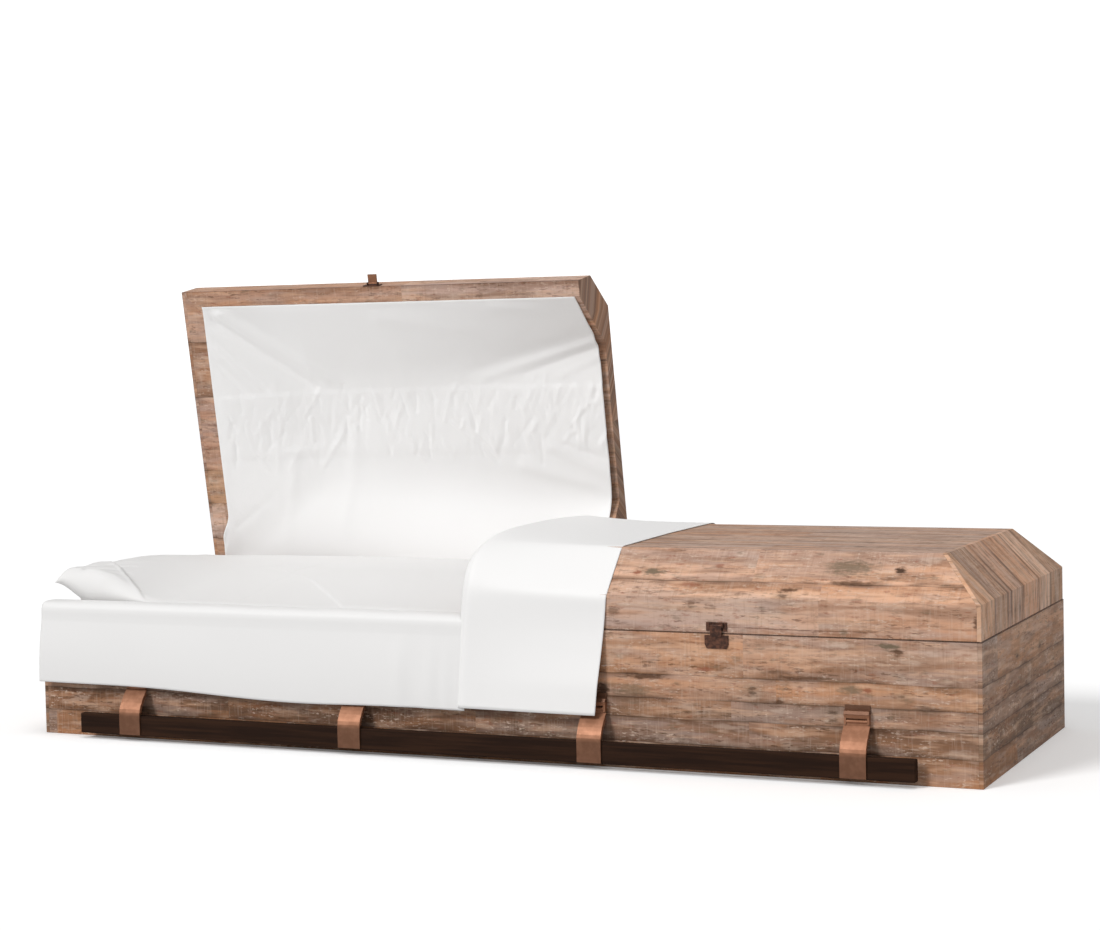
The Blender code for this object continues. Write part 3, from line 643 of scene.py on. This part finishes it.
def sheet_piece(name, xs, ys, zs, material):
    """A sheet of cloth from three arrays of coordinates."""
    points = np.stack((xs, ys, zs), axis=-1).reshape(-1, 3)
    piece = mesh_piece(name, points, grid_faces(*xs.shape), material)
    solid = piece.modifiers.new("thickness", "SOLIDIFY")
    solid.thickness = CLOTH_THICKNESS
    solid.offset = 0.0
    return piece


def open_place(x, u, d):
    """A place in the head lid, u from the hinge side and d above the rim, as it stands open."""
    from_hinge = LID_HALF_WIDTH - u - HINGE_Y
    c, s = math.cos(HEAD_LID_OPEN), math.sin(HEAD_LID_OPEN)
    return x, from_hinge * c + d * s + HINGE_Y, -from_hinge * s + d * c + HINGE_Z


def shut_place(x, u, d):
    return x, LID_HALF_WIDTH - u, BODY_HEIGHT + d


# Folds of the lining in the open lid: start, end, half width, height, as places (x, u)
LINING_FOLDS = (
    ((-0.990, 0.645), (-0.735, 0.452), 0.010, -0.0080),
    ((-0.940, 0.640), (-0.700, 0.475), 0.016, 0.0056),
    ((-0.995, 0.610), (-0.850, 0.455), 0.009, -0.0035),
    ((-0.998, 0.590), (-0.870, 0.460), 0.009, 0.0025),
    ((-0.998, 0.560), (-0.890, 0.440), 0.009, -0.0030),
    ((-0.014, 0.566), (-0.330, 0.480), 0.016, -0.0030),
    ((-0.014, 0.545), (-0.300, 0.462), 0.010, 0.0030),
    ((-0.010, 0.530), (-0.200, 0.470), 0.008, -0.0030),
    ((-0.010, 0.505), (-0.120, 0.462), 0.010, 0.0025),
    ((-0.225, 0.250), (-0.010, 0.188), 0.015, 0.0030),
    ((-0.150, 0.290), (-0.010, 0.225), 0.013, 0.0022),
    ((-0.120, 0.300), (-0.012, 0.262), 0.007, -0.0020),
    ((-0.800, 0.285), (-0.830, 0.100), 0.014, 0.0016),
    ((-0.650, 0.285), (-0.680, 0.110), 0.016, 0.0016),
    ((-0.975, 0.110), (-0.860, 0.190), 0.010, -0.0012),
    ((-0.820, 0.299), (-0.700, 0.304), 0.008, 0.0012),
    ((-0.520, 0.620), (-0.300, 0.585), 0.018, 0.0022),
    ((-0.220, 0.640), (-0.080, 0.625), 0.014, 0.0022),
)


def gathers(low, high):
    """Short crooked pleats all over the gathered band, closer together towards the cut end."""
    chance = np.random.default_rng(11)
    pleats = []
    for _ in range(400):
        x = -0.970 * chance.random() ** 1.25 - 0.012
        u = chance.uniform(low - 0.006, high)
        reach = chance.uniform(0.008, 0.034)
        lean = chance.normal(-0.15, 0.35) - 0.8 * max(0.0, x + 0.35)
        start = (x - lean * reach, u + reach)
        end = (x + lean * reach, max(u - reach, low - 0.030))
        pleats.append((start, end, chance.uniform(0.0038, 0.0064), chance.normal(0.0, 0.00062)))
    return pleats


def lining_folds(x, u):
    """How far the cloth in the open lid stands off its even shape, towards the room."""
    height = 0.0020 * wobble(x * 9.0, u * 7.0, 1.0)
    low, high = 0.285, 0.440
    band = smoothstep(u, low - 0.010, low + 0.012) * (1 - smoothstep(u, high - 0.008, high + 0.006))
    height += band * 0.0014
    for start, end, width, tall in gathers(low, high):
        away, _, _ = line_distance(x, u, start, end)
        height += tall * ridge(away, width)
    for start, end, width, tall in LINING_FOLDS:
        away, t, _ = line_distance(x, u, start, end)
        height += tall * ridge(away, width) * (1 - 0.55 * t)
    return height


def make_lid_lining(name, material, sign, opened):
    """Cloth lining. In the open lid it hangs slack from the front edge to a gathered band."""
    across, along = 290, 162
    share, u = np.meshgrid(np.linspace(0, 1, across), np.linspace(LINING_LOW, LINING_HIGH, along),
                           indexing="ij")
    # The corner by the hinge is loose and laps over the lid's edge
    loose = 0.020 * (1 - smoothstep(u, 0.085, 0.150)) * float(opened)
    x = LINING_CUT + (LINING_END + loose - LINING_CUT) * share
    crease = LINING_HIGH - 0.120
    if opened:
        crease = np.interp(x, (0.0, 0.50, 0.74, 1.0), (crease - 0.012, 0.447, 0.447, 0.600))
    end_run = 0.262 if opened else 0.125
    front = (LINING_HIGH - u) / (LINING_HIGH - crease)
    back_run = 0.120
    if opened:
        back_run = 0.128 + 0.057 * smoothstep(x, 0.0, 0.50)
    back = (u - LINING_LOW) / back_run
    end = (LINING_END + 0.002 - x) / end_run
    blend = 0.17 if opened else 0.10
    depth = soft_least(soft_least(front, back, blend), end, blend)
    depth = soft_least(depth, 1.0 + 0.0 * depth, 1.6 * blend)
    if opened:
        depth = depth * (1 - 0.30 * smoothstep(x, 0.40, 0.95))
        depth = depth * (1 - 0.45 * smoothstep(x, 0.45, 0.90) * (1 - smoothstep(u, 0.12, 0.36)))
        depth = depth * (0.70 + 0.30 * (1 - smoothstep(x, 0.0, 0.60)))
    depth = depth * LINING_DEPTH - 0.002
    if opened:
        inner = smoothstep(np.minimum(u - LINING_LOW, LINING_HIGH - u), 0.0, 0.02)
        inner = inner * smoothstep(LINING_END - x, 0.0, 0.03)
        depth = depth - inner * lining_folds(sign * x, u)
        lap = smoothstep(x, LINING_END, LINING_END + 0.020) * (1 - smoothstep(u, 0.085, 0.150))
        depth = depth - lap * (0.002 + 0.003 * wobble(x * 220.0, u * 120.0, 1.0))
    place = open_place if opened else shut_place
    return sheet_piece(name, *place(sign * x, u, depth), material)


def bent_line_distance(x, y, path):
    """Distance to a bent line, and the side of it, positive towards the front left."""
    nearest, side = line_distance(x, y, *path[:2])[::2]
    for start, end in zip(path[1:], path[2:]):
        away, _, step = line_distance(x, y, start, end)
        side = np.where(away < nearest, step, side)
        nearest = np.minimum(away, nearest)
    return nearest, side


# Edges that show in the bedding, as places (x, y)
PILLOW_EDGE = ((-0.984, -0.161), (-0.900, -0.235), (-0.780, -0.313))
PILLOW_FOLDS = (
    ((-1.020, -0.225), (-0.940, -0.150), 0.009, -0.0060),
    ((-1.035, -0.190), (-0.930, -0.060), 0.011, 0.0040),
    ((-0.985, -0.262), (-0.915, -0.205), 0.008, -0.0050),
    ((-0.940, -0.285), (-0.880, -0.235), 0.008, 0.0035),
)
COVER_EDGE = ((-0.623, -0.013), (-0.510, -0.089), (-0.388, -0.209), (-0.264, -0.345))


def bed_height(x, y):
    """Top of the bedding: a low slope up from the front rim, and the pillow at the head end."""
    height = 0.285 + 0.050 * smoothstep(y, -0.33, 0.05)
    crest = 0.354 - 0.026 * smoothstep(y, -0.02, 0.33)
    height = height + (crest - height) * smoothstep(-x, 0.76, 0.98)
    height = height + 0.0015 * wobble(x * 9.0, y * 8.0, 3.0)
    away, side = bent_line_distance(x, y, PILLOW_EDGE)
    height += 0.0022 * ridge(away, 0.005) - 0.0040 * smoothstep(-side, 0.0, 0.010) * ridge(away, 0.060)
    away, side = bent_line_distance(x, y, COVER_EDGE)
    shown = 0.25 + 0.75 * smoothstep(x, -0.56, -0.49)
    step = 0.0014 * ridge(away, 0.003) - 0.0036 * smoothstep(side, -0.001, 0.0025)
    height += shown * step * ridge(away, 0.110)
    for start, end, width, tall in PILLOW_FOLDS:
        away, t, _ = line_distance(x, y, start, end)
        height += tall * ridge(away, width) * (1 - 0.7 * t)
    return height - 0.004 * ridge(y + 0.290, 0.012)


def make_cushion(name, material, span, top, seam, bottom, pull, edge, tuck):
    """A closed cushion: a crowned top and an undercut belly that meet at a seam round the edge."""
    x0, x1, y0, y1 = span
    count = 190
    middle_x, middle_y = (x0 + x1) / 2, (y0 + y1) / 2
    half_x, half_y = (x1 - x0) / 2, (y1 - y0) / 2
    u, v = np.meshgrid(np.linspace(-1, 1, count), np.linspace(-1, 1, count), indexing="ij")
    x = middle_x + half_x * u * (1 - pull / half_x * (1 - v ** 2))
    y = middle_y + half_y * v * (1 - pull / half_y * (1 - u ** 2))

    def rounded(distance):
        return np.sqrt(1 - (1 - np.clip(distance / edge, 0, 1)) ** 2)

    rise = rounded((1 - np.abs(u)) * half_x) * rounded((1 - np.abs(v)) * half_y)
    low = seam(x, y)
    z = low + (top(x, y) - low) * rise
    points = [np.stack((x, y, z), axis=-1).reshape(-1, 3)]
    faces = grid_faces(count, count)
    last = count - 1
    rim = [(i, 0) for i in range(last)] + [(last, j) for j in range(last)]
    rim += [(i, last) for i in range(last, 0, -1)] + [(0, j) for j in range(last, 0, -1)]
    ring = [i * count + j for i, j in rim]
    edge_points = points[0][ring]
    for angle in np.linspace(0, math.pi / 2, 9)[1:]:
        inset = tuck * math.sin(angle)
        level = edge_points.copy()
        level[:, 0] = middle_x + (edge_points[:, 0] - middle_x) * (1 - inset / half_x)
        level[:, 1] = middle_y + (edge_points[:, 1] - middle_y) * (1 - inset / half_y)
        level[:, 2] = bottom + (edge_points[:, 2] - bottom) * math.cos(angle)
        start = sum(len(part) for part in points)
        below = list(range(start, start + len(ring)))
        for k in range(len(ring)):
            after = (k + 1) % len(ring)
            faces.append((ring[k], ring[after], below[after], below[k]))
        points.append(level)
        ring = below
    faces.append(tuple(ring))
    return mesh_piece(name, np.concatenate(points), faces, material)


def pillow_seam(x, y):
    """Height of the pillow's edge: its head end stands clear of the rim."""
    return 0.281 + 0.041 * smoothstep(-x, 0.955, 1.045)


# The pillow and the bed cover meet in one even surface here, each dipping under the other past it
BEDDING_JOINT = -0.600


def pillow_top(x, y):
    return bed_height(x, y) - 0.003 * smoothstep(x, BEDDING_JOINT, BEDDING_JOINT + 0.020)


def cover_top(x, y):
    return bed_height(x, y) - 0.003 * smoothstep(-x, -BEDDING_JOINT, 0.014 - BEDDING_JOINT)


def cover_seam(x, y):
    """Height of the bed cover's edge: low, but where it runs under the pillow."""
    return 0.276 + (cover_top(x, y) - 0.002 - 0.276) * (1 - smoothstep(x, -0.60, -0.56))


def make_mattress(name, material):
    """Quilted mattress with a welted edge."""
    low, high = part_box("mattress")
    span = (low[0] + 0.001, high[0] - 0.001, low[1] + 0.001, high[1] - 0.001)

    def top(x, y):
        channel = np.abs((x / 0.130 + 0.5) % 1.0 - 0.5) * 0.130
        return high[2] - 0.001 - 0.006 * ridge(channel, 0.010) - 0.0008 * wobble(x * 30.0, y * 26.0, 2.0)

    return make_cushion(name, material, span, top, lambda x, y: high[2] - 0.030 + 0.0 * x,
                        low[2] + 0.001, 0.002, 0.026, 0.003)


def make_wall_skirt(name, material):
    """Cloth hung in small pleats round the inside of the walls."""
    low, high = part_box("wall_lining")
    half_x, half_y = high[0] - 0.0014, high[1] - 0.0014
    corners = ((-half_x, -half_y), (half_x, -half_y), (half_x, half_y), (-half_x, half_y), (-half_x, -half_y))
    xs, ys, bulge = [], [], []
    for (ax, ay), (bx, by) in zip(corners, corners[1:]):
        length = math.hypot(bx - ax, by - ay)
        count = int(length / 0.004)
        t = np.arange(count) / count
        inwards = 0.0009 * (np.sin(t * length / 0.022 * math.pi) ** 2 + 0.4 * wobble(t * length * 60.0, ax, 3.0))
        inwards = inwards * smoothstep(np.minimum(t, 1 - t) * length, 0.0, 0.03)
        xs.append(ax + (bx - ax) * t - (by - ay) / length * inwards)
        ys.append(ay + (by - ay) * t + (bx - ax) / length * inwards)
    x = np.concatenate(xs + [xs[0][:1]])
    y = np.concatenate(ys + [ys[0][:1]])
    z = np.linspace(low[2] + 0.001, high[2] - 0.001, 5)
    rows = (np.repeat(x[None, :], len(z), axis=0), np.repeat(y[None, :], len(z), axis=0),
            np.repeat(z[:, None], len(x), axis=1))
    return sheet_piece(name, *rows, material)


def make_drape(name, material):
    """Cloth from the bed over the front rim, hanging down outside."""
    columns, fall = 300, 34
    x = np.linspace(DRAPE_LEFT, DRAPE_RIGHT, columns)
    hem = 0.099 + 0.019 * smoothstep(-x, 0.32, 1.04) - 0.002 * np.sin(x * 11.0)
    over_rim = [(-0.2840, 0.2765), (-0.2860, 0.2820), (-0.2910, 0.2860), (-0.3050, 0.2880), (-0.3250, 0.2890),
                (-0.3410, 0.2886), (-0.3500, 0.2866), (-0.3555, 0.2820), (-0.3582, 0.2750), (-0.3590, 0.2650)]
    top_front = (-0.3595, 0.2500)
    ys = [np.full(columns, y) for y, _ in over_rim]
    zs = [np.full(columns, z) for _, z in over_rim]
    for t in np.linspace(0.0, 1.0, fall):
        ys.append(np.full(columns, top_front[0] - 0.0140 * math.sin(t * math.pi / 2)))
        zs.append(top_front[1] + (hem - top_front[1]) * t)
    ys, zs = np.array(ys), np.array(zs)
    xs = np.repeat(x[None, :], len(ys), axis=0)
    down = smoothstep(0.268 - zs, 0.0, 0.10)
    folds = 0.0018 * ridge(xs + 0.155, 0.016) + 0.0015 * ridge(xs + 0.085, 0.014)
    folds += 0.0011 * ridge(xs + 0.045, 0.012) - 0.0010 * ridge(xs + 0.120, 0.020)
    ripple = 0.0016 * wobble(xs * 14.0, zs * 8.0, 6.0) + 0.0025 * wobble(xs * 4.0, zs * 5.0, 2.0)
    ys = ys - down * (folds + ripple)
    top = (1 - down) * smoothstep(ys, -0.36, -0.34)
    zs = zs + top * 0.0010 * wobble(xs * 22.0, ys * 30.0, 7.0)
    return sheet_piece(name, xs, ys, zs, material)


# Cross-sections of the throw from behind, over the lid and down in front, as places (y, z):
# puffed up at its left edge, and lying on the lid at its right edge
THROW_PUFFED = (
    (0.3270, 0.3640), (0.3210, 0.3950), (0.3050, 0.4200), (0.2750, 0.4340), (0.2300, 0.4440), (0.1100, 0.4500), (0.0100, 0.4520), (-0.0900, 0.4520),
    (-0.1730, 0.4510), (-0.2300, 0.4460), (-0.2720, 0.4370), (-0.3100, 0.4220), (-0.3400, 0.3990),
    (-0.3580, 0.3700), (-0.3655, 0.3350), (-0.3680, 0.3000), (-0.3700, 0.2650), (-0.3730, 0.2200),
    (-0.3760, 0.1600), (-0.3790, 0.1060),
)
THROW_SNUG = (
    (0.3270, 0.3640), (0.3220, 0.3930), (0.3090, 0.4180), (0.2900, 0.4250), (0.2300, 0.4255), (0.1100, 0.4255), (0.0100, 0.4255), (-0.0900, 0.4255),
    (-0.1730, 0.4255), (-0.2200, 0.4255), (-0.2640, 0.4252), (-0.2860, 0.4040), (-0.3080, 0.3815),
    (-0.3300, 0.3590), (-0.3505, 0.3370), (-0.3515, 0.3000), (-0.3545, 0.2650), (-0.3620, 0.2200),
    (-0.3740, 0.1600), (-0.3785, 0.1040),
)


def spread(path, count, rounds):
    """The same path with evenly spaced points, its corners eased."""
    path = np.array(path)
    steps = np.concatenate(([0], np.cumsum(np.hypot(*np.diff(path, axis=0).T))))
    even = np.linspace(0, steps[-1], count)
    dense = np.stack([np.interp(even, steps, path[:, k]) for k in range(2)], axis=1)
    for _ in range(rounds):
        dense[1:-1] = (dense[:-2] + 2 * dense[1:-1] + dense[2:]) / 4
    return dense


def make_throw(name, material):
    """Cloth over the cut end of the foot lid."""
    count, across = 150, 110
    puffed = spread(THROW_PUFFED, count, 12)
    snug = spread(THROW_SNUG, count, 2)
    s = np.linspace(0, 1, count)
    left = np.interp(s, (0, 0.35, 0.62, 0.75, 1.0), (-0.004, -0.006, -0.006, -0.012, -0.028))
    right = np.interp(s, (0, 0.35, 0.60, 0.75, 1.0), (0.286, 0.286, 0.299, 0.299, 0.281))
    xs, ys, zs = [], [], []
    for t in np.linspace(0, 1, across):
        puff = (1 - t) ** 1.6
        lip = ridge(t, 0.035)
        x = left + (right - left) * t
        line = puffed * puff + snug * (1 - puff)
        along = np.gradient(line, axis=0)
        length = np.hypot(along[:, 0], along[:, 1])
        fold = 0.0015 * wobble(x * 16.0, s * 9.0, 8.0) * puff - 0.012 * lip
        xs.append(x)
        ys.append(line[:, 0] + along[:, 1] / length * fold)
        zs.append(line[:, 1] - along[:, 0] / length * fold)
    return sheet_piece(name, np.array(xs), np.array(ys), np.array(zs), material)


def paint(nodes, material):
    for node in nodes:
        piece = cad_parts[node]
        piece.data.materials.clear()
        piece.data.materials.append(material)


def dress_boards():
    finishes = {
        "body_front_wall": side_print("front wall print", 0.0),
        "body_foot_wall": side_print("foot wall print", 0.0, way=1),
        "body_foot_facing": side_print("foot facing print", 0.0, way=1),
        "body_back_wall": side_print("back wall print", 4.0),
        "body_head_wall": side_print("head wall print", 7.0, way=-1),
        "body_head_facing": side_print("head facing print", 7.0, way=-1),
        "body_floor": side_print("floor print", 9.0),
        "foot_lid_shell": lid_print("foot lid print", 0.0, FOOT_END_ROWS),
        "foot_lid_facing": end_print("foot lid end print", 0.0, FOOT_END_ROWS),
        "head_lid_shell": lid_print("head lid print", 5.0, HEAD_END_ROWS, HEAD_LID_OPEN),
        "head_lid_facing": end_print("head lid end print", 5.0, HEAD_END_ROWS, HEAD_LID_OPEN),
    }
    for node, material in finishes.items():
        paint([node], material)


def dress_metal_and_wood():
    names = list(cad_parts)
    straps = [name for name in names if "_arm_" in name or "_lug_" in name]
    fittings = [name for name in names if "hinge" in name or "catch" in name or "hasp" in name]
    fittings.remove("head_hasp")
    paint(straps + ["head_hasp"], copper_finish("copper plate"))
    paint(fittings, bronze_finish("antique bronze"))
    paint(["front_bar", "back_bar"], bar_finish("dark stained wood"))


def make_linings(cloth):
    head = make_lid_lining("head_lid_cloth", cloth, -1, True)
    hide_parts("head_lid_lining")
    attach(head, "head_lid")
    open_place(-0.5, 0.3, LINING_DEPTH)
    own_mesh(head)
    foot = make_lid_lining("foot_lid_cloth", cloth, 1, False)
    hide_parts("foot_lid_lining")
    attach(foot, "foot_lid")


def make_trim(name, body, sign, opened):
    """The folded-in strip of board along a lid's end, between the rim and the lining."""
    bpy.ops.mesh.primitive_cube_add(size=1.0)
    strip = bpy.context.object
    strip.name = name
    place = open_place if opened else shut_place
    for corner in strip.data.vertices:
        x = LID_END - WALL + 0.0005 if corner.co.x > 0 else LINING_END - 0.0040
        u = 2 * LID_HALF_WIDTH - WALL + 0.0005 if corner.co.y > 0 else WALL - 0.0005
        corner.co = place(sign * x, u, 0.0060 if corner.co.z > 0 else 0.0004)
    strip.data.materials.append(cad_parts[body + "_shell"].data.materials[0])
    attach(strip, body)


def make_bedding(cloth):
    mattress = make_mattress("quilted_mattress", cloth)
    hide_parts("mattress")
    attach(mattress, "container")
    skirt = make_wall_skirt("wall_skirt_cloth", cloth)
    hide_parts("wall_lining")
    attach(skirt, "container")
    cover = make_cushion("bed_cover", cloth, (-0.614, -0.030, BED_FRONT, BED_BACK), cover_top, cover_seam,
                         0.254, 0.004, 0.030, 0.004)
    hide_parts("bed_overlay")
    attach(cover, "container")
    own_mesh(cover)
    pillow = make_cushion("pillow_cushion", cloth, (-1.047, -0.560, -0.292, BED_BACK), pillow_top,
                          pillow_seam, 0.272, 0.006, 0.028, 0.040)
    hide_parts("pillow")
    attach(pillow, "container")
    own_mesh(pillow)


def make_hanging_cloth(matt, plain):
    drape = make_drape("front_drape_cloth", matt)
    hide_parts("front_drape")
    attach(drape, "container")
    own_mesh(drape)
    throw = make_throw("throw_cloth", plain)
    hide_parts("throw")
    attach(throw, "foot_lid")
    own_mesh(throw)


def make_trims():
    make_trim("head_lid_trim", "head_lid", -1, True)
    make_trim("foot_lid_trim", "foot_lid", 1, False)


def make_soft_goods():
    bright = cloth_finish("white satin", (0.915, 0.907, 0.900))
    plain = cloth_finish("white throw cloth", (0.832, 0.824, 0.817))
    matt = cloth_finish("white drape cloth", (0.780, 0.772, 0.765))
    soft = cloth_finish("white cotton", (0.755, 0.746, 0.738))
    make_linings(bright)
    make_bedding(soft)
    make_hanging_cloth(matt, plain)


def make_world(seen_strength, lit_strength):
    """A white room that lights the object less than it shows."""
    world = bpy.data.worlds.new("studio")
    bpy.context.scene.world = world
    world.use_nodes = True
    tree = world.node_tree
    tree.nodes.clear()
    out = tree.nodes.new("ShaderNodeOutputWorld")
    mix = tree.nodes.new("ShaderNodeMixShader")
    path = tree.nodes.new("ShaderNodeLightPath")
    tree.links.new(path.outputs["Is Camera Ray"], mix.inputs[0])
    for socket, strength in ((1, lit_strength), (2, seen_strength)):
        light = tree.nodes.new("ShaderNodeBackground")
        light.inputs["Color"].default_value = (1, 1, 1, 1)
        light.inputs["Strength"].default_value = strength
        tree.links.new(light.outputs[0], mix.inputs[socket])
    tree.links.new(mix.outputs[0], out.inputs["Surface"])


def make_floor():
    """A pale floor that shows whiter than the light it gives back."""
    shade = Shade("studio floor")
    seen = shade.node("ShaderNodeLightPath", output="Is Camera Ray")
    shade.finish(shade.mix(seen, (0.65, 0.65, 0.65), (0.98, 0.98, 0.98)), 0.9, Specular_IOR_Level=0.0,
                 Emission_Color=shade.mix(seen, (0.0, 0.0, 0.0), (0.075, 0.075, 0.075)),
                 Emission_Strength=1.0)
    bpy.ops.mesh.primitive_plane_add(size=60.0, location=(0.0, 0.0, -0.0005))
    floor = bpy.context.object
    floor.name = "studio_floor"
    floor.data.materials.append(shade.material)


def make_sun(name, towards, spread_deg, strength):
    data = bpy.data.lights.new(name, "SUN")
    data.angle = math.radians(spread_deg)
    data.energy = strength
    light = bpy.data.objects.new(name, data)
    bpy.context.scene.collection.objects.link(light)
    light.rotation_euler = Vector(towards).to_track_quat("Z", "Y").to_euler()


def make_studio():
    make_world(1.2, 0.39)
    make_floor()
    make_sun("key", (-0.38, -0.73, 0.57), 18.0, 1.80)
    make_sun("top light", (0.14, -0.14, 0.98), 30.0, 0.86)
    bpy.context.scene.view_settings.view_transform = "Standard"


def make_camera():
    """The photograph's view, worked out from the object's straight edges."""
    place = (2.0841, -4.5425, 0.8594)
    yaw, pitch, roll = 0.42272, -0.05481, -0.02184
    photo_width = 1100.0
    focal_pixels = 2348.46
    centre_off_pixels = (-6.26, -8.10)
    forward = Vector((-math.sin(yaw) * math.cos(pitch), math.cos(yaw) * math.cos(pitch), math.sin(pitch)))
    level_right = Vector((math.cos(yaw), math.sin(yaw), 0.0))
    level_up = level_right.cross(forward)
    right = level_right * math.cos(roll) + level_up * math.sin(roll)
    up = level_up * math.cos(roll) - level_right * math.sin(roll)
    data = bpy.data.cameras.new("camera")
    camera = bpy.data.objects.new("camera", data)
    bpy.context.scene.collection.objects.link(camera)
    turn = Matrix((right, up, -forward)).transposed().to_4x4()
    camera.matrix_world = Matrix.Translation(place) @ turn
    data.sensor_width = 36.0
    data.lens = focal_pixels / photo_width * data.sensor_width
    data.shift_x = centre_off_pixels[0] / photo_width
    data.shift_y = centre_off_pixels[1] / photo_width
    data.clip_end = 60.0
    bpy.context.scene.camera = camera


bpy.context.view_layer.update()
dress_boards()
dress_metal_and_wood()
make_trims()
make_soft_goods()
make_studio()
make_camera()
